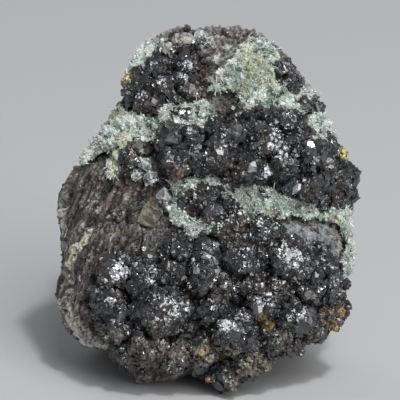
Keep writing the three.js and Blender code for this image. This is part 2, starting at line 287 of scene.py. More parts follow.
def facets(points, outward, cell, spacing, tip, seed, most, stretch=None):
    """How far each point moves along its normal onto its tipped plane, and the plane's number."""
    chance = np.random.default_rng(seed)
    length = spacing * math.sqrt(stretch[1]) if stretch else spacing
    chosen = scattered(points, cell, length, chance)
    tipped = outward[chosen] + chance.normal(0.0, tip, (len(chosen), 3))
    if stretch:
        tipped = squeezed(tipped, stretch)
    tipped /= np.linalg.norm(tipped, axis=1)[:, None]
    ground = squeezed(points, stretch) if stretch else points
    owner, _ = nearest(ground, ground[chosen])
    plane = tipped[owner]
    drop = np.einsum("ij,ij->i", points[chosen][owner] - points, plane)
    facing = np.maximum(np.einsum("ij,ij->i", outward, plane), 0.3)
    number = chance.random(len(chosen))[owner]
    return np.clip(drop / facing, -most * MM, most * MM), number


def domes(points, cell, spacing, height, seed):
    """How far each point rises on its round hump, from minus half the height, and its number."""
    chance = np.random.default_rng(seed)
    chosen = scattered(points, cell, spacing, chance)
    owner, far = nearest(points, points[chosen])
    hump = np.sqrt(limited(1.0 - (far / (0.8 * spacing * MM)) ** 2))
    return height * MM * (hump - 0.5), chance.random(len(chosen))[owner]


# %% [markdown]
# The parts of a piece that touch its neighbours are never seen, and the places where two
# minerals meet look like both. So distances to the neighbours' solids are measured, and a piece
# only grows where it is clear of the rock.

# %% Neighbours
SPHALERITE = sorted(name for name in nodes if name.startswith("sphalerite_"))
DRUSES = sorted(name for name in nodes if name.startswith("quartz_druse_"))
CONTACT = 0.4
FLOOR_CLEARANCE = 0.9


def tree_of(names):
    """The surfaces of the named solids, ready to be measured to."""
    corners, faces = [], []
    for name in names:
        mesh = nodes[name].data
        first = len(corners)
        corners += [vertex.co.copy() for vertex in mesh.vertices]
        faces += [[first + corner for corner in face.vertices] for face in mesh.polygons]
    return BVHTree.FromPolygons(corners, faces)


def distance(points, tree):
    """Millimetres from each point to the nearest surface."""
    return np.array([tree.find_nearest(point)[3] for point in points]) / MM


ROCK_TREE = tree_of(["host_rock"])
ORE_TREE = tree_of(SPHALERITE)
DRUSE_TREE = tree_of(DRUSES)


def bare(points):
    """1 where a grown piece is clear of the rock and of the floor, 0 where it is hidden."""
    clear = limited((distance(points, ROCK_TREE) - CONTACT) / CONTACT)
    return clear * (points[:, 2] > FLOOR_CLEARANCE * MM)


print(len(SPHALERITE), "sphalerite clusters and", len(DRUSES), "crusts of druse")

# %% [markdown]
# Stains and painted glints are painted as soft spots, because a stain on a stone has no sharp
# border. A few spots also paint light or shade onto the crusts. A spot is given as seen: its
# place across, its place up and its radius, all in millimetres. Each kind of spot becomes an
# attribute of the mesh, and a crystal that is strewn later takes over the attributes of the spot
# it grows on.

# %% Painted spots
CORE_SHARE = 0.4
SMALLEST_CORE = 0.8
DEPTH_SHARE = 0.6


def painted(points, spots):
    """1 in the middle of any spot on the best side, falling to 0 at its edge. A spot lies on what
    the viewer sees there, and doesn't run far back into the depth."""
    amount = np.zeros(len(points))
    ground = as_seen(points)
    for across, up, radius in spots:
        off = ground - (across, up, 0.0)
        middle = np.hypot(off[:, 0], off[:, 1]) < max(CORE_SHARE * radius, SMALLEST_CORE)
        if middle.any():
            off[:, 2] = DEPTH_SHARE * (off[:, 2] - off[middle, 2].min())
            far = np.linalg.norm(off, axis=1) / radius
            amount = np.maximum(amount, limited(1.5 - 1.5 * far))
    return amount


def paint(piece, points, **stains):
    for name, spots in stains.items():
        store(piece, name, painted(points, spots))


# %% [markdown]
# Where the spots lie. Rust, ochre, yellow and amber are stains of iron. The rind is the pale skin
# of the rock at the lower left, and the rim the same along its outline. Cream is a thin vein on
# the left flank, with a few specks. The rock is pale and lumpy on top, and blue-grey below the
# green belt on the right. Some ore lumps are warm brown or tan, grey crust covers the highest
# ones, and earth the lowest. The fringe and the tuft are where white grains grow outside the
# crusts. The pale spots make the crusts on the left nearly white: partly their own pale colour,
# and partly painted light on crusts that face away from the lamps.

# %% Where the spots lie
RUST = [
    (-2.8, 91.0, 4.0), (-1.6, 95.4, 4.0), (-2.0, 88.0, 3.0), (-23.0, 65.0, 4.0), (-24.6, 61.0, 4.0),
    (-30.0, 55.0, 3.0), (-21.0, 60.0, 3.6), (-24.0, 50.0, 3.0), (9.0, 106.4, 3.0), (13.0, 107.0, 2.4),
]
RIND = [
    (-44.0, 24.0, 5.0), (-41.0, 20.0, 5.0), (-37.5, 16.0, 5.0), (-33.5, 13.5, 4.0),
    (-44.5, 55.0, 4.5), (-43.0, 36.0, 3.5), (-44.0, 48.0, 3.0),
]
CREAM = [
    (-35.0, 48.5, 1.4), (-35.6, 46.5, 1.8), (-36.6, 44.6, 2.0), (-38.4, 43.2, 2.2), (-40.0, 42.0, 2.4),
    (-40.6, 39.6, 1.8), (-41.4, 37.2, 1.8), (-42.0, 34.6, 1.6), (-24.5, 75.0, 3.4), (-26.6, 70.5, 3.6),
    (-28.4, 66.4, 2.6), (-29.0, 14.0, 2.5), (-28.0, 16.5, 3.0), (-26.0, 14.5, 2.6), (12.3, 103.5, 3.0),
]
YELLOW = [(-24.0, 94.2, 2.4), (41.0, 71.1, 2.8), (-24.4, 76.4, 1.5)]
OCHRE = [
    (-9.6, 65.0, 4.2), (19.5, 52.0, 3.6), (29.4, 50.4, 3.4), (39.6, 45.5, 4.0), (19.5, 9.5, 3.0),
    (11.0, 4.6, 2.6), (-22.6, 9.2, 2.4), (-4.8, 10.0, 4.0), (36.0, 22.5, 3.4), (2.0, 13.0, 3.0),
    (17.0, 21.5, 4.0), (38.0, 50.0, 3.0), (-13.0, 11.0, 2.4),
]
PALE_ROCK = [
    (0.0, 106.0, 6.0), (6.0, 104.0, 6.0), (11.0, 101.0, 5.0), (-3.0, 101.0, 4.0), (-8.0, 104.0, 5.0),
    (-12.0, 107.6, 4.0), (1.0, 109.0, 5.0), (8.0, 108.6, 5.0), (3.0, 99.0, 4.0), (7.0, 97.6, 3.0),
]
BLUE_ROCK = [
    (24.0, 48.0, 4.5), (30.0, 49.0, 5.5), (35.0, 48.0, 6.0), (39.0, 44.0, 5.0), (33.0, 43.0, 5.0),
    (38.0, 51.5, 4.0), (28.0, 44.0, 4.0), (36.0, 39.0, 3.5),
]
RIM = [
    (-43.8, 57.0, 3.4), (-43.8, 50.0, 3.0), (-43.8, 43.0, 3.0), (-43.5, 36.0, 3.6), (-42.0, 31.0, 3.0),
    (23.6, 99.0, 2.0), (26.4, 95.2, 2.2), (28.8, 91.6, 2.2), (20.8, 103.0, 1.8), (33.0, 86.6, 2.0),
]
WARM = [
    (4.0, 68.0, 6.0), (1.0, 73.0, 4.5), (39.5, 61.5, 4.5), (-25.0, 29.0, 5.0), (36.4, 72.0, 3.6),
    (-12.0, 96.0, 4.0), (10.0, 66.0, 4.0), (30.0, 28.0, 4.0), (38.0, 58.0, 5.0),
]
CRUST = [
    (-15.0, 105.6, 4.0), (-11.0, 108.0, 4.4), (-6.0, 107.6, 4.6), (-12.5, 104.0, 3.0), (-8.6, 105.6, 3.4),
    (-1.0, 100.0, 4.0),
]
EARTH = [
    (-27.0, 16.0, 3.6), (-21.0, 14.0, 4.0), (-15.0, 12.6, 4.6), (-8.0, 11.4, 5.0), (-2.0, 12.0, 5.0),
    (5.0, 12.0, 5.0), (11.0, 9.0, 5.0), (16.0, 13.0, 4.0), (22.0, 16.0, 4.0), (30.0, 17.0, 4.0),
    (36.0, 21.0, 4.0), (8.0, 5.0, 4.0), (17.0, 7.0, 4.0), (-20.0, 8.6, 3.0),
]
AMBER = [
    (15.6, 22.6, 2.6), (18.0, 20.2, 2.6), (40.2, 23.6, 2.0), (37.6, 20.0, 1.6), (4.0, 10.0, 2.0),
    (-1.0, 12.6, 1.5), (9.0, 12.4, 1.4), (0.6, 3.6, 1.3), (12.6, 8.4, 1.3),
]
FRINGE = [
    (6.8, 51.6, 2.8), (11.0, 51.4, 2.8), (15.4, 50.6, 2.4), (3.6, 49.6, 2.2), (0.0, 48.2, 2.0),
    (-3.4, 57.4, 1.4), (20.0, 49.6, 2.0), (-13.6, 71.4, 1.6), (-15.8, 70.0, 1.6), (1.4, 81.2, 1.4),
]
# Pale spots on the left crusts: their own pale colour, and painted light where they face away from the
# lamps.
PALE_AND_PAINTED_LIGHT = [
    (-22.0, 97.0, 5.0), (-19.0, 103.0, 4.0), (-30.0, 78.0, 5.0), (-24.0, 80.0, 4.0), (-36.0, 71.0, 3.0),
]
TUFT = [(-25.6, 72.8, 3.4), (-26.8, 70.4, 3.6), (-28.0, 67.8, 3.4), (-28.4, 65.4, 2.6)]
TAN_LUMP = [(-9.6, 63.6, 3.6), (-7.6, 64.4, 3.0), (-11.4, 64.6, 2.6), (20.6, 51.4, 3.0), (24.0, 50.4, 2.6)]

# %% [markdown]
# Thousands of small crystals and needles cover the specimen. Geometry Nodes strews points over a
# piece, sets one of a few little shapes on each, and makes them real mesh. The tilt can follow a
# noise, so that neighbours lean the same way, as needles of one tuft do. Every shape also keeps
# a random tone, and its height from root to tip, for the materials to read. First come the nodes
# that choose how a shape leans and how large it is.

# %% Nodes that lean and size the shapes
def put(tree, value, socket):
    """Sets a plain value on a node's input, or links another node's output to it."""
    if isinstance(value, bpy.types.NodeSocket):
        tree.links.new(value, socket)
    elif socket.type == "RGBA":
        socket.default_value = (*value, 1.0)
    else:
        socket.default_value = value


def add_node(tree, kind, inputs=None, **settings):
    """A new node with its settings, and with inputs that are given by name or number."""
    node = tree.nodes.new(kind)
    for name, value in settings.items():
        setattr(node, name, value)
    for name, value in (inputs or {}).items():
        put(tree, value, node.inputs[name])
    return node


def vector_math(tree, operation, *vectors, **more):
    inputs = {**dict(enumerate(vectors)), **more}
    return add_node(tree, "ShaderNodeVectorMath", inputs, operation=operation).outputs[0]


def random_number(tree, low, high, seed):
    """A number for each shape. The node takes the limits of numbers as inputs 2 and 3."""
    inputs = {2: low, 3: high, "Seed": seed}
    return add_node(tree, "FunctionNodeRandomValue", inputs, data_type="FLOAT").outputs[1]


def random_vector(tree, low, high, seed):
    """A vector for each shape. The node takes the limits of vectors as inputs 0 and 1."""
    inputs = {0: low, 1: high, "Seed": seed}
    return add_node(tree, "FunctionNodeRandomValue", inputs, data_type="FLOAT_VECTOR").outputs[0]


def shared_lean(tree, width, amount, own):
    """A lean that follows a noise so many millimetres wide, with some of each shape's own lean."""
    position = add_node(tree, "GeometryNodeInputPosition").outputs[0]
    field = add_node(tree, "ShaderNodeTexNoise", {"Vector": position, "Scale": 1.0 / (width * MM)})
    centred = vector_math(tree, "SUBTRACT", field.outputs["Color"], (0.5, 0.5, 0.5))
    scaled = vector_math(tree, "MULTIPLY", centred, (amount * 4, amount * 4, 0.0))
    return vector_math(tree, "ADD", scaled, own)


def random_size(tree, sizes, bias, seed):
    """A size between two sizes in millimetres. A higher bias makes more of the shapes small."""
    inputs = {0: random_number(tree, 0.0, 1.0, seed), 1: bias}
    biased = add_node(tree, "ShaderNodeMath", inputs, operation="POWER").outputs[0]
    inputs = {"Value": biased, "To Min": sizes[0] * MM, "To Max": sizes[1] * MM}
    return add_node(tree, "ShaderNodeMapRange", inputs).outputs["Result"]


# %% [markdown]
# The strewing itself is one small node tree: points on the surface, a shape on each point, a tone
# for each shape, and all of it made real mesh. The tree is built, applied and thrown away. The
# shapes are added to the piece, or put in the place of its old faces. In the second case they
# make a piece of their own, which has no solid behind it.

# %% Strewing small shapes
CROWDING = 1.6
TUFT_TURN = 0.4


def strew(piece, shapes, spacing, sizes, tilt, seed, mask, tuft=None, bias=2.0, keep=True):
    """Strews shapes, sized in millimetres, no closer than their spacing, and thick where the mask
    is 1. A tuft is the width and the strength of a lean that neighbours share."""
    tree = bpy.data.node_groups.new("strew", "GeometryNodeTree")
    for way in ("INPUT", "OUTPUT"):
        tree.interface.new_socket("Geometry", in_out=way, socket_type="NodeSocketGeometry")
    given = add_node(tree, "NodeGroupInput").outputs[0]
    density = add_node(tree, "GeometryNodeInputNamedAttribute", {"Name": mask}, data_type="FLOAT")
    points = add_node(
        tree, "GeometryNodeDistributePointsOnFaces",
        {
            "Mesh": given, "Distance Min": spacing * MM, "Seed": seed,
            "Density Max": CROWDING / (spacing * MM) ** 2,
            "Density Factor": density.outputs["Attribute"],
        },
        distribute_method="POISSON",
    )

    turn = TUFT_TURN if tuft else math.tau
    own = random_vector(tree, (-tilt, -tilt, 0.0), (tilt, tilt, turn), seed + 1)
    lean = shared_lean(tree, *tuft, own) if tuft else own
    rotation = add_node(tree, "FunctionNodeEulerToRotation", {0: lean}).outputs[0]
    turned = add_node(
        tree, "FunctionNodeRotateRotation", {0: points.outputs["Rotation"], 1: rotation},
        rotation_space="LOCAL",
    )

    gather = add_node(tree, "GeometryNodeJoinGeometry")
    for shape in shapes:
        source = add_node(tree, "GeometryNodeObjectInfo", {"Object": shape, "As Instance": True})
        put(tree, source.outputs["Geometry"], gather.inputs[0])
    placed = add_node(
        tree, "GeometryNodeInstanceOnPoints",
        {
            "Points": points.outputs["Points"], "Instance": gather.outputs[0], "Pick Instance": True,
            "Rotation": turned.outputs[0], "Scale": random_size(tree, sizes, bias, seed + 2),
        },
    )
    tone = random_number(tree, 0.0, 1.0, seed + 3)
    toned = add_node(
        tree, "GeometryNodeStoreNamedAttribute",
        {"Geometry": placed.outputs[0], "Name": "tone", "Value": tone},
        data_type="FLOAT", domain="INSTANCE",
    )
    real = add_node(tree, "GeometryNodeRealizeInstances", {0: toned.outputs[0]})
    whole = add_node(tree, "GeometryNodeJoinGeometry", {0: real.outputs[0]})
    if keep:
        put(tree, given, whole.inputs[0])
    add_node(tree, "NodeGroupOutput", {0: whole.outputs[0]})

    modifier = piece.modifiers.new("strew", "NODES")
    modifier.node_group = tree
    settle(piece)
    bpy.data.node_groups.remove(tree)


def finished(piece, node=None):
    """Rests a piece on the floor, hands it to the frame and says how large its mesh is."""
    move_to(piece, places(piece))
    if node:
        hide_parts(node)
    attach(piece, "root")
    print(piece.name, sum(len(face.vertices) - 2 for face in piece.data.polygons), "triangles")
    return piece


def strewn_apart(name, source, shapes, slot, tint=None, **strewing):
    """A piece of its own that holds only what is strewn on the source."""
    piece = show(name, source.data.copy())
    strew(piece, shapes, keep=False, **strewing)
    if tint:
        store(piece, "tint", np.full(len(piece.data.vertices), tint))
    return finished(piece)


# %% [markdown]
# The little shapes themselves. Sphalerite grows as tetrahedra and twelve-faced crystals whose
# corners are cut, so three- and four-sided stubs with a small flat top stand for its points.
# Quartz needles are prisms with a pointed end. Broken stone is a rough lump with flat sides.
# They are one unit in radius, because the strewing scales them, and they stand on the origin.

# %% Little crystals
templates = []


def template(name, shape, bottom, height):
    """Keeps a shape for the strewing, with its height from 0 at the bottom to 1 at the top."""
    mesh = bpy.data.meshes.new(name)
    shape.to_mesh(mesh)
    shape.free()
    made = show(name, mesh)
    store(made, "along", (places(made)[:, 2] - bottom) / (height - bottom))
    templates.append(made)
    return made


def stub(name, sides, foot, top, bottom, height):
    """A stub that narrows from foot to top, given by its two radii and where it starts and ends."""
    shape = bmesh.new()
    bmesh.ops.create_cone(
        shape, cap_ends=True, segments=sides, radius1=foot, radius2=top, depth=height - bottom,
    )
    bmesh.ops.translate(shape, verts=shape.verts, vec=(0.0, 0.0, (height + bottom) / 2))
    return template(name, shape, bottom, height)


def prism(name, sides, width, shoulder, height):
    """A needle with straight sides up to its shoulder, and then a point."""
    bottom = -0.25
    shape = bmesh.new()
    bmesh.ops.create_cone(
        shape, cap_ends=True, segments=sides, radius1=width, radius2=width, depth=shoulder - bottom,
    )
    bmesh.ops.translate(shape, verts=shape.verts, vec=(0.0, 0.0, (shoulder + bottom) / 2))
    end = max(shape.faces, key=lambda face: face.calc_center_median().z)
    tip = bmesh.ops.poke(shape, faces=[end])["verts"][0]
    tip.co.z = height
    return template(name, shape, bottom, height)


def lump(name, seed, roughness):
    """A rough ball with flat sides."""
    shape = bmesh.new()
    bmesh.ops.create_icosphere(shape, subdivisions=1, radius=1.0)
    chance = np.random.default_rng(seed)
    for vertex in shape.verts:
        vertex.co *= 1.0 + chance.uniform(-roughness, roughness)
    return template(name, shape, -1.0, 1.0)


sphalerite_points = [
    stub("tetrahedron", 3, 1.15, 0.22, -0.5, 0.75), stub("stub_three", 3, 1.15, 0.6, -0.5, 0.45),
    stub("stub_four", 4, 1.0, 0.6, -0.5, 0.5), stub("pyramid_four", 4, 1.05, 0.15, -0.4, 0.8),
    stub("stub_five", 5, 0.95, 0.7, -0.5, 0.4), lump("blocky", 3, 0.16),
]
grains = [
    lump("grain_a", 5, 0.3), lump("grain_b", 8, 0.3), stub("chip_four", 4, 1.0, 0.7, -0.5, 0.4),
    stub("chip_five", 5, 1.0, 0.55, -0.4, 0.6),
]
needles = [
    prism("needle", 4, 0.07, 0.8, 1.0), prism("blade", 4, 0.11, 0.62, 0.85),
    prism("stout", 5, 0.18, 0.4, 0.66),
]
white_grains = [
    prism("white_prism", 5, 0.5, 0.5, 0.95), stub("white_stub", 4, 0.8, 0.45, -0.5, 0.7),
    lump("white_lump", 11, 0.2),
]
print(len(templates), "little shapes for the strewing")

# %% [markdown]
# A sphalerite cluster is a heap of rounded crystals. Under a lens each one is a patchwork of
# flat growth faces, all nearly but not quite parallel, which is why a cluster glitters in
# patches. So each heap is softened into lumps, the creases between the lumps are deepened, and
# the lumps are given facets of two sizes. Merging the faces that lie in one plane leaves the
# facets crisp. Small crystals grow on it in thick and thin patches, and stand almost square to
# the surface. Painted glints, a painted highlight of silver-white cells, are laid where a lump
# looks the way of the flash, and in a few dense places whichever way it looks. Low down, crumbs
# of the host rock cling to the ore.

# %% Sphalerite clusters
HEAP_CELL = 0.34
LARGE_FACE = 3.2
SMALL_FACE = 1.2
CREASE_DEPTH = 1.4
# Places of painted glints: a silver-white highlight painted on lumps that face the flash.
PAINTED_GLINTS = [
    (-6.0, 97.2, 2.4), (-6.4, 94.4, 2.2), (-14.1, 92.1, 2.4), (-7.2, 83.6, 1.0), (7.6, 80.6, 2.0),
    (-21.6, 85.5, 3.0), (-19.8, 88.5, 2.4), (7.0, 81.4, 2.6), (20.4, 76.6, 2.6), (20.6, 73.2, 3.0),
    (22.0, 70.6, 3.2), (18.0, 65.8, 3.2), (32.0, 69.0, 2.6), (24.3, 40.6, 4.2), (27.0, 38.6, 3.0),
    (10.2, 40.0, 3.4), (13.4, 39.4, 2.6), (36.0, 42.6, 3.2), (-26.1, 36.8, 3.6), (-25.0, 40.0, 2.4),
    (-30.9, 32.4, 2.0), (-17.1, 35.0, 4.0), (-12.6, 27.4, 4.6), (-9.0, 22.6, 5.0), (-6.6, 24.4, 4.0),
    (6.4, 19.6, 3.2), (16.6, 27.2, 3.6), (26.2, 23.4, 2.4), (9.6, 22.6, 2.2), (3.9, 2.6, 2.8),
    (-14.0, 15.6, 2.4), (-9.4, 5.0, 2.4), (16.0, 14.6, 2.0), (24.4, 15.0, 2.0), (-20.6, 18.6, 2.0),
    (-9.6, 9.4, 2.2), (-2.0, 38.0, 2.0), (20.0, 32.6, 2.4), (15.0, 31.0, 2.0), (-9.0, 66.0, 3.0),
]
# Dense painted glints, laid whichever way the lump looks.
DENSE_PAINTED_GLINTS = [
    (23.0, 41.6, 2.6), (25.6, 40.2, 2.8), (24.4, 38.0, 2.0), (-26.1, 36.8, 2.4), (-27.4, 34.0, 1.6),
    (-6.0, 97.2, 1.4), (19.6, 76.2, 1.8), (20.8, 73.0, 2.4), (21.8, 70.2, 1.8), (17.4, 65.0, 2.2),
    (37.0, 42.0, 2.0), (5.4, 19.8, 2.2), (-9.4, 23.4, 2.2),
]


def mark_heap(heap, place, out, crease, seed):
    """Stores where a cluster is brownish, stained or crusted, and where its painted glints go."""
    warm = 0.45 + 0.9 * swell_field(place, 9.0, seed + 6, octaves=2)
    store(heap, "warm", np.maximum(warm, 0.9 * painted(place, WARM)))
    facing = limited((out @ np.array(FLASH) - 0.45) / 0.35) * (1.0 - crease)
    broken = limited(0.6 + 1.8 * swell_field(place, 2.0, seed + 8, octaves=2))
    # Painted highlight: glints where a lump looks the way of the flash, and in the dense places.
    painted_glint = 0.7 * painted(place, PAINTED_GLINTS) * facing * broken + 0.75 * painted(place, DENSE_PAINTED_GLINTS)
    store(heap, "painted_glint_mask", painted_glint)
    paint(heap, place, ochre=OCHRE, yellow=YELLOW, amber=AMBER, tan=TAN_LUMP)
    paint(heap, place, crust=CRUST, earth=EARTH, rust=RUST, fringe=FRINGE)


def sphalerite_heap(node, seed):
    heap, place, out = even_copy(node + "_crystals", node, HEAP_CELL, smoothing=3)
    clear = bare(place)
    crease = limited(hollows(heap, passes=40) / 0.3 - 0.2)
    wide, wide_tone = facets(place, out, HEAP_CELL, LARGE_FACE, tip=0.17, seed=seed + 1, most=0.9)
    small, small_tone = facets(place, out, HEAP_CELL, SMALL_FACE, tip=0.24, seed=seed + 2, most=0.6)
    rough = limited(0.42 + 2.4 * swell_field(place, 4.5, seed, octaves=2))
    rough = np.maximum(rough, painted(place, EARTH))
    swell = MM * (0.3 + 0.25 * swell_field(place, 3.0, seed))
    grow = swell + wide + small * rough - CREASE_DEPTH * MM * crease
    move_to(heap, place + out * (grow * clear)[:, None])
    store(heap, "tone", np.where(rough > 0.5, small_tone, wide_tone))
    store(heap, "growth", (0.05 + 0.95 * rough) * clear * (1.0 - 0.5 * crease))
    # The finish paints these creases nearly black, as painted shade.
    store(heap, "crease", crease)
    mark_heap(heap, place, out, crease, seed)
    thin_out(heap, kept=0.35)
    strew(
        heap, sphalerite_points, spacing=0.66, sizes=(0.24, 1.6), tilt=0.34, seed=seed + 3,
        mask="growth", bias=2.8,
    )
    return finished(heap, node)


heaps = {name: sphalerite_heap(name, 100 + 10 * number) for number, name in enumerate(SPHALERITE)}
crumbs = strewn_apart(
    "host_rock_crumbs", heaps["sphalerite_base"], grains, "host_rock",
    spacing=0.75, sizes=(0.2, 0.9), tilt=0.6, seed=91, mask="earth",
)

# %% [markdown]
# Quartz druse is a carpet of needles about a millimetre long, with a few longer ones lying across
# it. It grows in small round tufts, so the crust is raised in domes and the needles on each dome
# fan out. Where a slow noise is low, the crust sinks into the rock and no needles grow, which
# leaves dark gaps and ragged borders. In places stout grains of white quartz grow instead, and
# the crust looks like coarse sugar. The border of a crust is where it comes down to the rock. It
# draws back from there by a distance that wanders, further on the sides and the back, so that no
# crust ends in a straight line. Below the crusts a fringe of white grains also sits on the ore.

# %% Quartz druse
DRUSE_CELL = 0.38
TUFT_WIDTH = 3.6
TUFT_HEIGHT = 1.7
GAP_DEPTH = 1.8
WALL_REACH = 1.2
# Olive crusts: their own yellow-green, and on the crown's right, which faces the lamps, painted darker as
# shade.
OLIVE_AND_PAINTED_SHADE = [(15.3, 96.6, 6.0), (12.9, 99.6, 4.5), (19.0, 93.0, 4.0), (11.0, 90.0, 3.5), (-27.0, 84.0, 5.0)]


def gaps(place, out, seed):
    """1 where a crust has a gap or has drawn back from its border, and 0 where it is whole."""
    wall = distance(place, ROCK_TREE) < WALL_REACH
    _, inside = nearest(place, place[wall])
    ragged = limited(0.5 + 1.6 * swell_field(place, 2.4, seed + 6, octaves=2))
    sideways = limited((0.5 + out @ np.array(AWAY)) / 0.3)
    retreat = (0.7 + 5.3 * sideways) * ragged
    low = limited((-0.16 - swell_field(place, 3.0, seed + 4, octaves=2)) / 0.1)
    return np.maximum(low, limited((retreat - inside / MM) / 0.4))


def druse_carpet(node, seed):
    carpet, place, out = even_copy(node + "_needles", node, DRUSE_CELL, smoothing=2)
    clear = bare(place)
    humps, tint = domes(place, DRUSE_CELL, TUFT_WIDTH, TUFT_HEIGHT, seed)
    rough, _ = facets(place, out, DRUSE_CELL, spacing=1.0, tip=0.3, seed=seed + 1, most=0.4)
    low = gaps(place, out, seed)
    sugar = limited(0.45 + 3.0 * swell_field(place, 3.6, seed + 9, octaves=2))
    grow = humps + rough - GAP_DEPTH * MM * low - 0.2 * MM
    move_to(carpet, place + out * (grow * clear)[:, None])
    store(carpet, "growth", clear * (1.0 - low) * (1.0 - 0.75 * sugar))
    store(carpet, "sugar", clear * (1.0 - low) * (0.1 + 0.9 * sugar))
    store(carpet, "tint", 0.3 + 0.4 * tint + 0.9 * swell_field(place, 4.0, seed + 5))
    # Low places and gaps in the crust get a low value here, which the finish paints dark as shade.
    store(carpet, "along", 0.75 + humps / (TUFT_HEIGHT * MM) - 0.9 * low)
    paint(carpet, place, ochre=OCHRE, yellow=YELLOW, cream=CREAM, olive=OLIVE_AND_PAINTED_SHADE, bright=PALE_AND_PAINTED_LIGHT)
    strew(
        carpet, white_grains, spacing=0.85, sizes=(0.25, 1.1), tilt=0.7, seed=seed + 7,
        mask="sugar", bias=1.8,
    )
    strew(
        carpet, needles, spacing=0.42, sizes=(0.5, 1.6), tilt=0.6, seed=seed + 2,
        mask="growth", tuft=(2.0, 0.3), bias=1.6,
    )
    strew(
        carpet, needles[:1], spacing=1.8, sizes=(1.5, 2.6), tilt=1.25, seed=seed + 11,
        mask="growth", bias=1.0,
    )
    return finished(carpet, node)


carpets = [druse_carpet(name, 300 + 10 * number) for number, name in enumerate(DRUSES)]
for number, cluster in enumerate(("base", "belt", "pocket")):
    fringe = strewn_apart(
        "quartz_druse_fringe_" + cluster, heaps["sphalerite_" + cluster], white_grains,
        "quartz_druse", tint=0.35, spacing=0.65, sizes=(0.25, 0.75), tilt=0.7, seed=95 + number,
        mask="fringe", bias=1.6,
    )
    carpets.append(fringe)

# %% [markdown]
# The host rock is one broken piece. Its left flank is banded, along lines that lean from upper
# right to lower left. Places near the sphalerite are dark and places near the quartz pale and
# green, so the distance to those solids is measured for the finish and for the strewing.

# %% Where the rock differs
ROCK_CELL = 0.55
BAND_DIRECTION = (seen(-4.2, -10.0, 0.0) - seen(0.0, 0.0, 0.0)).normalized()
FLANK_SIDE = -10.0
FLANK_TOP = 74.0
FLANK_FADE = 10.0
GREEN_REACH = 3.0
BLACK_REACH = 5.0

rock, spot, face_out = even_copy("host_rock_skin", "host_rock", ROCK_CELL)
across, up, _ = as_seen(spot).T
flank = limited((FLANK_SIDE - across) / FLANK_FADE) * limited((FLANK_TOP - up) / FLANK_FADE)
rear = limited((face_out @ np.array(AWAY) + 0.05) / 0.3)
cap = painted(spot, PALE_ROCK)
near_green = limited(1.0 - distance(spot, DRUSE_TREE) / GREEN_REACH)
near_black = limited(1.0 - distance(spot, ORE_TREE) / BLACK_REACH)
print(len(spot), "points on the rock's skin")

# %% [markdown]
# The flank splinters along its bands, and the rest is cut by flat breaks of many sizes, the
# largest at the back. Its top is lumpy. The rock may rise only a little, so that it stays under
# what has grown on it, and its underside may not come out at all. The depth of each hollow is
# stored too, so that the finish can darken the hollows, as painted shade and dirt, and pale the
# raised edges, as a painted highlight and wear.

# %% How the rock is broken
SPLINTERED = (BAND_DIRECTION, 5.0)
BASE_FADE = 3.0
HIGHEST_RISE = 1.2
RISE_UNDER_CRUST = 0.2
HOLLOW_DEPTH = 0.3


def rock_break(spacing, tip, seed, most, stretch=None):
    return facets(spot, face_out, ROCK_CELL, spacing, tip, seed, most, stretch)


great_break, _ = rock_break(spacing=16.0, tip=0.2, seed=15, most=3.2)
large_break, _ = rock_break(spacing=5.5, tip=0.16, seed=11, most=1.3)
small_break, chip_tone = rock_break(spacing=2.2, tip=0.24, seed=12, most=0.7)
splinter, splinter_tone = rock_break(spacing=3.2, tip=0.34, seed=13, most=1.2, stretch=SPLINTERED)
sliver, sliver_tone = rock_break(spacing=1.4, tip=0.4, seed=14, most=0.7, stretch=SPLINTERED)
lumps, lump_tone = domes(spot, ROCK_CELL, spacing=2.8, height=1.0, seed=16)
fold = swell_field(spot, 6.5, 5, (BAND_DIRECTION, 3.0), octaves=2)
bands = swell_field(spot, 3.0, 1, (BAND_DIRECTION, 7.0))
fine_bands = swell_field(spot, 1.1, 4, (BAND_DIRECTION, 6.0))

push = 0.8 * MM * swell_field(spot, 11.0, 2) + rear * great_break
push += rear * MM * 0.9 * swell_field(spot, 5.0, 8)
push += flank * MM * (1.1 * fold + 0.7 * bands + 0.3 * fine_bands)
push += flank * (0.6 * splinter + 0.55 * sliver)
push += (1.0 - 0.7 * flank) * ((0.9 - 0.65 * rear) * large_break + (1.1 - 0.7 * rear) * small_break)
push += (0.5 - 0.25 * flank - 0.15 * rear) * MM * swell_field(spot, 1.9, 3, octaves=4)
push += painted(spot, RIND) * MM * (1.3 * swell_field(spot, 2.2, 6, octaves=2) - 0.2)
push += painted(spot, RIM) * MM * (2.4 * swell_field(spot, 3.0, 7, octaves=2) + 0.2)
push += cap * lumps
push = np.minimum(push - 0.15 * MM, HIGHEST_RISE * MM)
push = np.where(near_green > 0.3, np.minimum(push, RISE_UNDER_CRUST * MM), push)
level = limited(spot[:, 2] / (BASE_FADE * MM))
push = np.where(face_out[:, 2] < -0.7, np.minimum(push * level, 0.0), push)
move_to(rock, spot + face_out * push[:, None])
spot = places(rock)
print("the rock's skin moves by", round(push.min() / MM, 1), "to", round(push.max() / MM, 1), "mm")

# The hollows are painted darker as shade and dirt, and the raised edges paler as a painted highlight and
# wear.
deep = hollows(rock, passes=10) / HOLLOW_DEPTH
rock_tone = np.where(flank > 0.5, 0.5 * splinter_tone + 0.5 * sliver_tone, chip_tone)
for name, values in {
    "near_black": near_black, "near_green": near_green, "flank": flank, "rear": rear,
    "crack": deep, "edge": -deep, "tone": np.where(cap > 0.4, lump_tone, rock_tone),
}.items():
    store(rock, name, values)
paint(rock, spot, rust=RUST, rind=RIND, cream=CREAM, yellow=YELLOW, ochre=OCHRE)
paint(rock, spot, pale=PALE_ROCK, blue=BLUE_ROCK, rim=RIM, earth=EARTH, amber=AMBER, tuft=TUFT)

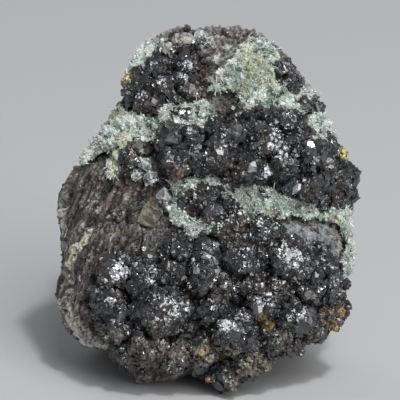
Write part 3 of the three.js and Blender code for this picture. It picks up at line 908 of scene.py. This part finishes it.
# %% [markdown]
# Grains stand out of the broken rock: dark ore, grey quartz and brown carbonate, up to a
# millimetre and a half wide. Each grain takes a tone of its own. Round the ore clusters small
# black crystals are strewn on the rock instead, so that a cluster has no hard border. Under the
# crust of the left shoulder one small tuft of needles and white grains sits on the bare rock.

# %% Grains, stray crystals and a tuft on the rock
NEIGHBOUR_GAP = 0.8
FLOOR_GAP = 1.2
toward_viewer = face_out @ -np.array(AWAY)
off_ore = distance(spot, ORE_TREE) > NEIGHBOUR_GAP
off_druse = distance(spot, DRUSE_TREE) > NEIGHBOUR_GAP
open_rock = off_ore * off_druse * (spot[:, 2] > FLOOR_GAP * MM)
bareness = np.where(toward_viewer > -0.2, 1.0, 0.5) * (1.0 - 0.5 * near_black) * (1.0 - 0.75 * flank)
store(rock, "grainy", open_rock * bareness)
store(rock, "ore_strays", open_rock * limited(1.6 * near_black))

rock_grains = strewn_apart(
    "host_rock_grains", rock, grains, "host_rock",
    spacing=0.9, sizes=(0.2, 0.8), tilt=0.6, seed=21, mask="grainy", bias=2.4,
)
stray_ore = strewn_apart(
    "sphalerite_strays", rock, sphalerite_points, "sphalerite",
    spacing=0.8, sizes=(0.3, 1.3), tilt=0.4, seed=25, mask="ore_strays",
)
carpets.append(strewn_apart(
    "quartz_druse_tuft", rock, white_grains, "quartz_druse", tint=0.75,
    spacing=0.7, sizes=(0.3, 1.2), tilt=0.7, seed=27, mask="tuft", bias=1.4,
))
carpets.append(strewn_apart(
    "quartz_druse_tuft_needles", rock, needles, "quartz_druse", tint=0.75,
    spacing=0.34, sizes=(0.8, 2.0), tilt=0.7, seed=29, mask="tuft", bias=1.4,
))
finished(rock, "host_rock")

# %% [markdown]
# The few grey quartz crystals have grown against each other, and their faces are stepped and
# worn. The tan block has broken along its cleavage. Both skins are cut into low steps by facets,
# and grains stick to them.

# %% Quartz crystals and the carbonate block
QUARTZ_CELL = 0.2
BLOCK_CELL = 0.28


def stepped_crystals(node):
    piece, place, out = even_copy(node + "_stepped", node, QUARTZ_CELL)
    steps, step_tone = facets(place, out, QUARTZ_CELL, spacing=2.6, tip=0.04, seed=51, most=0.25)
    move_to(piece, place + out * steps[:, None])
    store(piece, "tone", step_tone)
    store(piece, "edge", -hollows(piece, passes=8) / 0.09)
    store(piece, "grainy", swell_field(place, 2.0, 52) * 3.0)
    strew(piece, white_grains, spacing=0.8, sizes=(0.2, 0.8), tilt=0.6, seed=53, mask="grainy")
    return finished(piece, node)


quartz = [stepped_crystals(name) for name in sorted(nodes) if "quartz_points" in name]

block, place, out = even_copy("carbonate_block_broken", "carbonate_block", BLOCK_CELL)
steps, step_tone = facets(place, out, BLOCK_CELL, spacing=2.4, tip=0.06, seed=61, most=0.4)
rough = 0.12 * MM * swell_field(place, 1.2, 62)
move_to(block, place + out * ((steps + rough) * bare(place))[:, None])
store(block, "tone", step_tone)
store(block, "edge", -hollows(block, passes=8) / 0.12)
store(block, "grainy", 0.15 * bare(place))
strew(block, grains, spacing=0.9, sizes=(0.15, 0.5), tilt=0.6, seed=63, mask="grainy")
finished(block, "carbonate_block")

# %% [markdown]
# A few crystals show one large clean face. They are blunt pyramids set where the viewer
# sees them: a line from the viewer finds the surface, and the face is turned to mirror the small
# lamp to the viewer, or a little past it, so that some flash white and others stay grey. The
# brighter a face is, the more of its pyramid it takes up. The little shapes for the strewing have
# done their work, and go first, so that no line hits them. A face is given as its place across
# and up, its size in millimetres, its number of sides and its brightness.

# %% Large clean faces
for made in templates:
    bpy.data.objects.remove(made)

IN_FRONT = -80.0
# The brightness also turns a face closer to the flash, and pales its colour as a painted highlight.
CLEAN_FACES = [
    (30.6, 73.2, 1.3, 5, 0.95), (27.6, 60.8, 1.9, 3, 0.8), (13.6, 67.4, 1.5, 4, 0.5),
    (19.4, 78.4, 1.5, 4, 0.25), (9.0, 32.6, 2.4, 3, 0.25), (-11.4, 75.4, 2.0, 3, 0.16),
    (38.6, 60.0, 3.6, 4, 0.06), (-25.0, 24.4, 2.3, 3, 0.4), (5.2, 35.0, 1.2, 4, 0.4),
    (7.8, 34.0, 1.2, 3, 0.45), (-3.6, 89.4, 1.3, 4, 0.35), (-16.0, 86.6, 1.1, 4, 0.5),
    (22.4, 32.6, 1.3, 4, 0.4), (15.8, 24.9, 1.8, 5, 0.3), (4.2, 71.0, 2.6, 5, 0.12),
    (32.4, 34.8, 1.8, 4, 0.2), (3.0, 27.6, 1.8, 4, 0.16), (-2.6, 36.6, 1.1, 4, 0.45),
    (-20.0, 74.0, 1.2, 4, 0.35), (12.0, 75.0, 2.2, 4, 0.1), (-17.0, 40.0, 1.6, 5, 0.14),
    (-7.6, 83.0, 0.8, 4, 0.95), (-5.4, 83.2, 0.6, 4, 0.9), (-26.8, 37.4, 1.1, 4, 0.75),
    (-25.2, 35.2, 0.9, 4, 0.8), (-29.6, 33.4, 0.8, 4, 0.8), (-30.8, 31.4, 0.7, 3, 0.8),
    (0.2, 40.4, 1.1, 4, 0.6), (2.4, 36.2, 1.0, 4, 0.7), (6.0, 96.0, 0.8, 4, 0.5),
]


def clean_faces(name, seed):
    chance = np.random.default_rng(seed)
    graph = bpy.context.evaluated_depsgraph_get()
    shape = bmesh.new()
    tones = []
    for across, up, size, sides, tone in CLEAN_FACES:
        place = bpy.context.scene.ray_cast(graph, seen(across, up, IN_FRONT), AWAY)[1]
        lean = 0.06 + 0.5 * (1.0 - tone)
        blunt = 0.4 + 0.5 * tone
        facing = (FLASH + Vector(chance.uniform(-lean, lean, 3))).normalized()
        spin = Matrix.Rotation(chance.uniform(0, 3), 3, "Z")
        turn = facing.to_track_quat("Z", "Y").to_matrix() @ spin
        corners = bmesh.ops.create_cone(
            shape, cap_ends=True, segments=sides, radius1=size * 1.5 * MM, radius2=size * blunt * MM,
            depth=size * MM,
        )["verts"]
        for corner in corners:
            corner.co.x += chance.uniform(-0.3, 0.3) * size * MM
            corner.co.y += chance.uniform(-0.3, 0.3) * size * MM
            corner.co = turn @ corner.co + place - facing * 0.3 * size * MM
        tones += [tone] * len(corners)
    mesh = bpy.data.meshes.new(name)
    shape.to_mesh(mesh)
    shape.free()
    piece = show(name, mesh)
    store(piece, "tone", np.array(tones))
    return finished(piece)


faces = clean_faces("sphalerite_clean_faces", seed=71)

# %% [markdown]
# The finishes. Everything is procedural: noises on the object's own coordinates, and the
# attributes that the pieces already carry. A group that several stones share breaks up a colour
# into mottles, so that no mineral is a single flat tone.

# %% Mottled colour, shared by every mineral
def colour_socket(sockets, name):
    """The colour one of a Mix node's sockets that share a name."""
    return next(socket for socket in sockets if socket.name == name and socket.type == "RGBA")


def make_mottle():
    group = bpy.data.node_groups.new("mottle", "ShaderNodeTree")
    for name, kind in {"Dark": "Color", "Light": "Color", "Scale": "Float", "Contrast": "Float"}.items():
        group.interface.new_socket(name, in_out="INPUT", socket_type="NodeSocket" + kind)
    group.interface.new_socket("Color", in_out="OUTPUT", socket_type="NodeSocketColor")
    given = add_node(group, "NodeGroupInput").outputs
    where = add_node(group, "ShaderNodeTexCoord").outputs["Object"]
    inputs = {"Vector": where, "Scale": given["Scale"], "Detail": 6.0, "Roughness": 0.65}
    field = add_node(group, "ShaderNodeTexNoise", inputs).outputs["Fac"]
    centred = add_node(group, "ShaderNodeMath", {0: field, 1: 0.5}, operation="SUBTRACT").outputs[0]
    spread = add_node(
        group, "ShaderNodeMath", {0: centred, 1: given["Contrast"], 2: 0.5},
        operation="MULTIPLY_ADD", use_clamp=True,
    ).outputs[0]
    blend = add_node(group, "ShaderNodeMix", {"Factor": spread}, data_type="RGBA")
    put(group, given["Dark"], colour_socket(blend.inputs, "A"))
    put(group, given["Light"], colour_socket(blend.inputs, "B"))
    add_node(group, "NodeGroupOutput", {"Color": colour_socket(blend.outputs, "Result")})
    return group


MOTTLE = make_mottle()
print("shared group:", MOTTLE.name)

# %% [markdown]
# A finish is a material under construction, with short ways to add the nodes that most materials
# need. Most of them give back an output, which the next one can take.

# %% A material under construction
class Finish:
    def __init__(self, name, settings):
        self.material = bpy.data.materials.new(name)
        self.material.use_nodes = True
        self.tree = self.material.node_tree
        self.shader = self.tree.nodes["Principled BSDF"]
        self.where = self.add("ShaderNodeTexCoord").outputs["Object"]
        for title, value in settings.items():
            self.set(title, value)

    def add(self, kind, inputs=None, **settings):
        return add_node(self.tree, kind, inputs, **settings)

    def set(self, title, value):
        """Gives the shader one of its inputs, as a plain value or as another node's output."""
        put(self.tree, value, self.shader.inputs[title])

    def attribute(self, name):
        return self.add("ShaderNodeAttribute", attribute_name=name).outputs["Fac"]

    def calc(self, operation, *values):
        return self.add("ShaderNodeMath", dict(enumerate(values)), operation=operation).outputs[0]

    def times(self, first, second):
        return self.calc("MULTIPLY", first, second)

    def ramp(self, source, low, high, to_low=0.0, to_high=1.0):
        ends = {"From Min": low, "From Max": high, "To Min": to_low, "To Max": to_high}
        return self.add("ShaderNodeMapRange", {"Value": source, **ends}).outputs["Result"]

    def mix(self, factor, first, second, blend="MIX"):
        node = self.add("ShaderNodeMix", {"Factor": factor}, data_type="RGBA", blend_type=blend)
        put(self.tree, first, colour_socket(node.inputs, "A"))
        put(self.tree, second, colour_socket(node.inputs, "B"))
        return colour_socket(node.outputs, "Result")

    def tinted(self, first, second):
        """Two colours multiplied, as when one is seen through the other."""
        return self.mix(1.0, first, second, "MULTIPLY")

    def mottle(self, dark, light, scale, contrast):
        inputs = {"Dark": dark, "Light": light, "Scale": scale, "Contrast": contrast}
        return self.add("ShaderNodeGroup", inputs, node_tree=MOTTLE).outputs["Color"]

    def noise(self, scale, detail=4.0, stretch=None):
        """Noise as fine as its scale, drawn out along a direction by a factor if both are given."""
        source = self.where
        if stretch:
            direction, factor = stretch
            turned = {
                "Vector": source, "Rotation": direction.to_track_quat("X", "Z").to_euler(),
                "Scale": (factor, 1.0, 1.0),
            }
            source = self.add("ShaderNodeMapping", turned, vector_type="TEXTURE").outputs[0]
        inputs = {"Vector": source, "Scale": scale, "Detail": detail}
        return self.add("ShaderNodeTexNoise", inputs).outputs["Fac"]

    def patch(self, name):
        """A painted spot with a ragged edge."""
        worn = self.calc("MULTIPLY_ADD", self.noise(700.0), 0.9, self.attribute(name))
        return self.ramp(worn, 0.72, 0.98)

    def stain(self, base, amount, stains):
        """Lays colours over the base where they are painted, each by its share of the amount."""
        for name, (share, colour) in stains.items():
            base = self.mix(self.times(self.patch(name), amount(share)), base, colour)
        return base

    def palette(self, source, *stops, blend="CONSTANT"):
        """Picks one of several colours by a number from 0 to 1. CONSTANT leaves them unblended."""
        node = self.add("ShaderNodeValToRGB", {"Fac": source})
        node.color_ramp.interpolation = blend
        while len(node.color_ramp.elements) < len(stops):
            node.color_ramp.elements.new(1.0)
        for element, (start, colour) in zip(node.color_ramp.elements, stops):
            element.position = start
            element.color = (*colour, 1.0)
        return node.outputs["Color"]

    def cells(self, scale):
        """A tone of its own for each small cell of the surface, and a direction of its own."""
        way = self.add("ShaderNodeTexVoronoi", {"Vector": self.where, "Scale": scale}).outputs["Color"]
        return self.add("ShaderNodeSeparateXYZ", {0: way}).outputs["Z"], way

    def tipped(self, directions, amount, share):
        """The surface's normal, tipped by a share of a direction whose parts run from 0 to 1."""
        normal = self.add("ShaderNodeNewGeometry").outputs["Normal"]
        centred = vector_math(self.tree, "MULTIPLY_ADD", directions, (amount,) * 3, (-amount / 2,) * 3)
        scaled = vector_math(self.tree, "SCALE", centred, Scale=share)
        return vector_math(self.tree, "NORMALIZE", vector_math(self.tree, "ADD", scaled, normal))

    def bump(self, height, strength, depth, normal=None):
        inputs = {"Height": height, "Strength": strength, "Distance": depth * MM}
        if normal:
            inputs["Normal"] = normal
        self.set("Normal", self.add("ShaderNodeBump", inputs).outputs[0])


# %% [markdown]
# The rock: brown-grey and speckled, with thin pale and dark streaks along the bands of the flank.
# It is nearly black where the ore has grown into it, and greenish where quartz has. Its back is
# paler, partly its own colour and partly painted light on the shaded back, and has a few thin
# veins. Hollows are darker, as painted shade and dirt, and raised edges paler, as a painted
# highlight and wear. Stains lie where they were painted.

# %% The rock's finish
def flank_colour(stone, thin, cell_tone, chips):
    """Streaks along the bands, in parts paler, browner or pearly."""
    wide = stone.noise(330.0, 5.0, (BAND_DIRECTION, 6.0))
    streak = stone.calc("MULTIPLY_ADD", wide, 0.45, stone.times(thin, 0.55))
    streak = stone.calc("MULTIPLY_ADD", stone.attribute("tone"), 0.10, streak)
    bands = stone.palette(
        streak, (0.44, (0.011, 0.010, 0.010)), (0.52, (0.046, 0.038, 0.034)), (0.58, (0.12, 0.10, 0.09)),
        (0.64, (0.26, 0.235, 0.21)), (0.70, (0.62, 0.60, 0.57)), blend="LINEAR",
    )
    uneven = stone.mottle((0.17, 0.15, 0.15), (1.9, 1.9, 1.92), 110.0, 3.8)
    bands = stone.tinted(stone.mix(0.3, bands, chips), uneven)
    hue = stone.mix(stone.ramp(stone.noise(75.0, 2.0), 0.42, 0.58), (1.0, 0.95, 1.02), (1.06, 1.03, 0.86))
    bands = stone.tinted(bands, hue)
    pearly = stone.times(stone.ramp(cell_tone, 0.86, 0.9), stone.ramp(stone.noise(190.0, 3.0), 0.5, 0.58))
    return stone.mix(stone.times(pearly, 0.8), bands, (0.52, 0.52, 0.54))


def rear_colour_and_painted_light(stone, base):
    """A paler, mottled cover over the base, partly its own colour and partly painted light on the shaded
    back, crossed in parts by thin veins.
    """
    # The paler cover is partly painted light, for a back that the lamps leave in shade.
    cover = stone.mottle((0.08, 0.068, 0.058), (0.52, 0.49, 0.44), 70.0, 4.6)
    thread = stone.calc("ABSOLUTE", stone.calc("SUBTRACT", stone.noise(38.0, 3.0), 0.5))
    parts = stone.ramp(stone.noise(64.0, 2.0), 0.5, 0.58)
    vein = stone.times(stone.ramp(thread, 0.002, 0.010, 0.75, 0.0), parts)
    return stone.mix(vein, stone.mix(0.5, cover, base), (0.46, 0.50, 0.45))


def place_colours(stone, base, chips):
    """The pale top, the blue-grey right side, the greenish and earthy places and the black ones."""
    lumps = stone.palette(
        stone.attribute("tone"), (0.0, (0.17, 0.145, 0.125)), (0.3, (0.33, 0.30, 0.275)),
        (0.6, (0.25, 0.25, 0.25)), (0.76, (0.62, 0.64, 0.62)),
    )
    pale = stone.tinted(lumps, stone.mottle((0.4, 0.39, 0.38), (1.45, 1.45, 1.45), 600.0, 3.4))
    base = stone.mix(stone.patch("pale"), base, stone.mix(0.25, pale, chips))
    blue = stone.mottle((0.10, 0.112, 0.12), (0.54, 0.575, 0.59), 420.0, 3.0)
    base = stone.mix(stone.patch("blue"), base, stone.mix(0.2, blue, chips))
    green = stone.mottle((0.05, 0.065, 0.052), (0.30, 0.36, 0.30), 800.0, 3.4)
    base = stone.mix(stone.times(stone.attribute("near_green"), 0.7), base, green)
    earth = stone.mottle((0.03, 0.027, 0.021), (0.30, 0.275, 0.205), 600.0, 3.4)
    base = stone.mix(stone.times(stone.patch("earth"), 0.8), base, earth)
    black = stone.ramp(stone.attribute("near_black"), 0.35, 0.8)
    return stone.mix(stone.times(black, 0.8), base, (0.016, 0.016, 0.017))


def rock_finish():
    stone = Finish("banded rock", {"Roughness": 0.7, "IOR": 1.6})
    cell_tone, _ = stone.cells(1500.0)
    speck = stone.calc("ADD", stone.times(cell_tone, 0.45), stone.attribute("tone"))
    chips = stone.palette(
        stone.times(speck, 0.69), (0.0, (0.012, 0.011, 0.010)), (0.28, (0.035, 0.031, 0.028)),
        (0.5, (0.085, 0.075, 0.065)), (0.72, (0.16, 0.15, 0.135)), (0.88, (0.42, 0.41, 0.38)),
    )
    body = stone.mottle((0.018, 0.016, 0.015), (0.17, 0.155, 0.14), 420.0, 3.4)
    base = stone.mix(0.55, body, chips)
    thin = stone.noise(1300.0, 5.0, (BAND_DIRECTION, 9.0))
    base = stone.mix(stone.attribute("flank"), base, flank_colour(stone, thin, cell_tone, chips))
    # The back: paler, partly painted light for its shade, with thin veins.
    base = stone.mix(stone.attribute("rear"), base, rear_colour_and_painted_light(stone, base))
    base = place_colours(stone, base, chips)
    pits = stone.noise(1000.0, 5.0)
    base = stone.stain(base, lambda share: stone.ramp(pits, 0.4, 0.52, 0.15 * share, share), {
        "rust": (0.8, (0.075, 0.038, 0.029)), "rind": (0.95, (0.74, 0.73, 0.64)),
        "rim": (0.8, (0.34, 0.38, 0.34)), "ochre": (0.5, (0.17, 0.12, 0.065)),
        "cream": (0.95, (0.80, 0.80, 0.62)), "yellow": (0.7, (0.50, 0.46, 0.13)),
        "amber": (0.8, (0.42, 0.26, 0.07)),
    })
    # Painted shade and dirt darken the hollows, and a painted highlight and wear pale the raised edges.
    base = stone.tinted(base, stone.ramp(stone.attribute("crack"), 0.0, 1.0, 1.0, 0.3))
    base = stone.mix(stone.times(stone.attribute("edge"), 0.35), base, (0.34, 0.32, 0.30))
    stone.set("Base Color", base)
    stone.set("Roughness", stone.ramp(stone.attribute("tone"), 0.0, 1.0, 0.75, 0.3))
    stone.bump(stone.calc("MULTIPLY_ADD", thin, 0.5, stone.noise(1800.0, 6.0)), 0.6, 0.3)
    return stone.material


# %% [markdown]
# Black sphalerite: almost no colour of its own, but a gloss between glass and metal. Its facets
# are covered with growth faces too small to model, so each half-millimetre cell tips the normal
# its own way and is a little smoother or duller than the next. In the places of painted glints
# some slightly larger cells are painted silver-white, as a painted highlight. Brown or yellow
# stain sits on a few lumps, grey crust on the top and brown earth low down, and the creases
# between the lumps are painted black, as painted shade.

# %% The sphalerite's finish
SPHALERITE_GLOSS = {"IOR": 2.37, "Specular IOR Level": 0.35}


def sphalerite_finish():
    ore = Finish("black sphalerite", {"Roughness": 0.25, **SPHALERITE_GLOSS})
    cell_tone, cell_way = ore.cells(1900.0)
    glint_cell_tone, _ = ore.cells(1600.0)
    tone = ore.calc("MULTIPLY_ADD", ore.attribute("tone"), 0.55, ore.times(cell_tone, 0.45))
    dark = ore.mottle((0.0015, 0.0015, 0.002), (0.018, 0.0195, 0.023), 300.0, 2.8)
    charcoal = ore.mix(ore.ramp(tone, 0.45, 0.95), dark, (0.058, 0.061, 0.067))
    brown = ore.ramp(ore.attribute("warm"), 0.58, 0.92, 0.0, 0.85)
    charcoal = ore.mix(brown, charcoal, ore.tinted(charcoal, (1.75, 1.2, 0.8)))
    crusted = ore.patch("crust")
    base = ore.mix(crusted, charcoal, ore.mottle((0.09, 0.085, 0.075), (0.62, 0.60, 0.54), 650.0, 3.4))
    earthy = ore.times(ore.patch("earth"), ore.ramp(ore.noise(300.0, 6.0), 0.46, 0.56, 0.0, 0.85))
    base = ore.mix(earthy, base, ore.mottle((0.018, 0.016, 0.012), (0.36, 0.33, 0.24), 500.0, 3.8))
    # Painted highlight: silver-white cells where the painted glints lie.
    painted_glint = ore.ramp(ore.calc("MULTIPLY_ADD", ore.attribute("painted_glint_mask"), 0.8, glint_cell_tone), 1.0, 1.02)
    base = ore.mix(painted_glint, base, ore.mix(cell_tone, (0.28, 0.30, 0.33), (0.95, 0.97, 1.0)))
    stained = ore.ramp(cell_tone, 0.1, 0.6)
    base = ore.stain(base, lambda share: ore.times(stained, share), {
        "ochre": (0.5, (0.15, 0.11, 0.07)), "yellow": (0.85, (0.70, 0.66, 0.27)),
        "amber": (0.85, (0.44, 0.29, 0.08)), "tan": (0.85, (0.27, 0.20, 0.12)),
        "rust": (0.85, (0.065, 0.034, 0.026)),
    })
    # Painted shade: the creases between the lumps are darkened nearly to black.
    ore.set("Base Color", ore.tinted(base, ore.ramp(ore.attribute("crease"), 0.05, 0.7, 1.0, 0.06)))
    gloss = ore.ramp(tone, 0.1, 0.9, 0.5, 0.16)
    dull = ore.calc("MAXIMUM", ore.times(crusted, 0.7), ore.times(earthy, 0.6))
    ore.set("Roughness", ore.calc("MAXIMUM", gloss, dull))
    uneven = ore.ramp(ore.attribute("growth"), 0.0, 0.7, 0.2, 1.0)
    ore.bump(ore.noise(3000.0, 4.0), 0.25, 0.1, ore.tipped(cell_way, 0.5, uneven))
    return ore.material


def clean_face_finish():
    face = Finish("clean sphalerite", {"Roughness": 0.2, **SPHALERITE_GLOSS})
    # Painted highlight: the brighter a face was set, the paler grey its colour over the black of the ore.
    body = face.mix(face.attribute("tone"), (0.02, 0.02, 0.022), (0.62, 0.64, 0.66))
    marks = face.mottle((0.6, 0.6, 0.6), (1.2, 1.2, 1.2), 1100.0, 2.5)
    face.set("Base Color", face.tinted(body, marks))
    face.bump(face.noise(1500.0, 3.0), 0.25, 0.1)
    return face.material


# %% [markdown]
# Quartz druse: each tuft has a tint between grey-green and mint, its depths are painted dark as
# shade between the needles, and its tips nearly white. Light passes a little way into the
# needles. Grey quartz is clear enough to see into, and white along its edges.

# %% The two quartz finishes
QUARTZ_IOR = 1.54


def druse_finish():
    crust = Finish("pale green quartz", {
        "Roughness": 0.35, "IOR": QUARTZ_IOR, "Subsurface Weight": 0.2, "Subsurface Scale": 1.0,
        "Subsurface Radius": (0.8 * MM, 1.0 * MM, 0.8 * MM),
    })
    tint = crust.attribute("tint")
    # Painted shade: roots and low places are darker than the tips.
    root = crust.mix(tint, (0.20, 0.26, 0.22), (0.56, 0.61, 0.58))
    tip = crust.mix(tint, (0.66, 0.75, 0.69), (0.97, 0.98, 0.97))
    lit = crust.mix(crust.ramp(crust.attribute("along"), 0.05, 0.6), root, tip)
    odd = crust.palette(
        crust.attribute("tone"), (0.0, (0.62, 0.66, 0.62)), (0.16, (0.97, 0.99, 0.96)),
        (0.66, (1.2, 1.16, 1.16)),
    )
    patchy = crust.mottle((0.50, 0.56, 0.52), (1.22, 1.21, 1.21), 420.0, 3.3)
    base = crust.tinted(crust.tinted(lit, odd), patchy)
    crust.set("Base Color", crust.stain(base, lambda share: share, {
        # Olive is the crust's own colour, and also painted shade where the crust faces the lamps.
        "olive": (0.7, (0.47, 0.51, 0.37)), "cream": (0.7, (0.84, 0.84, 0.68)),
        # The pale spot is partly the crust's own colour and partly painted light.
        "bright": (0.65, (0.93, 1.0, 0.95)), "ochre": (0.45, (0.24, 0.18, 0.10)),
        "yellow": (0.6, (0.74, 0.71, 0.40)),
    }))
    return crust.material


def quartz_finish():
    glassy = Finish("grey quartz", {"Roughness": 0.2, "IOR": QUARTZ_IOR, "Transmission Weight": 0.3})
    body = glassy.mottle((0.09, 0.115, 0.115), (0.55, 0.61, 0.60), 500.0, 3.6)
    steps = glassy.mix(glassy.attribute("tone"), (0.5, 0.52, 0.52), (1.4, 1.4, 1.38))
    edge = glassy.ramp(glassy.attribute("edge"), 0.08, 0.5, 0.0, 0.9)
    glassy.set("Base Color", glassy.mix(edge, glassy.tinted(body, steps), (0.93, 0.95, 0.94)))
    glassy.bump(glassy.noise(1600.0, 4.0), 0.3, 0.15)
    return glassy.material


# %% [markdown]
# The tan block is a dull carbonate, and the floor is a plain grey board.

# %% The other finishes
def carbonate_finish():
    tan = Finish("tan carbonate", {"Roughness": 0.5})
    body = tan.mottle((0.05, 0.046, 0.038), (0.22, 0.20, 0.155), 500.0, 3.2)
    chips = tan.mix(tan.attribute("tone"), (0.45, 0.45, 0.45), (1.3, 1.28, 1.2))
    edge = tan.ramp(tan.attribute("edge"), 0.2, 0.9, 0.0, 0.5)
    tan.set("Base Color", tan.mix(edge, tan.tinted(body, chips), (0.34, 0.32, 0.27)))
    tan.bump(tan.noise(1500.0, 4.0), 0.3, 0.12)
    return tan.material


def wear(pieces, material):
    for piece in pieces:
        piece.data.materials.clear()
        piece.data.materials.append(material)
    print(material.name, "on", len(pieces), "pieces")


wear([rock, rock_grains, crumbs], rock_finish())
wear([*heaps.values(), stray_ore], sphalerite_finish())
wear([faces], clean_face_finish())
wear(carpets, druse_finish())
wear(quartz, quartz_finish())
wear([block], carbonate_finish())
wear([floor], Finish("plain floor", {"Roughness": 0.9, "Base Color": (0.57, 0.575, 0.585)}).material)
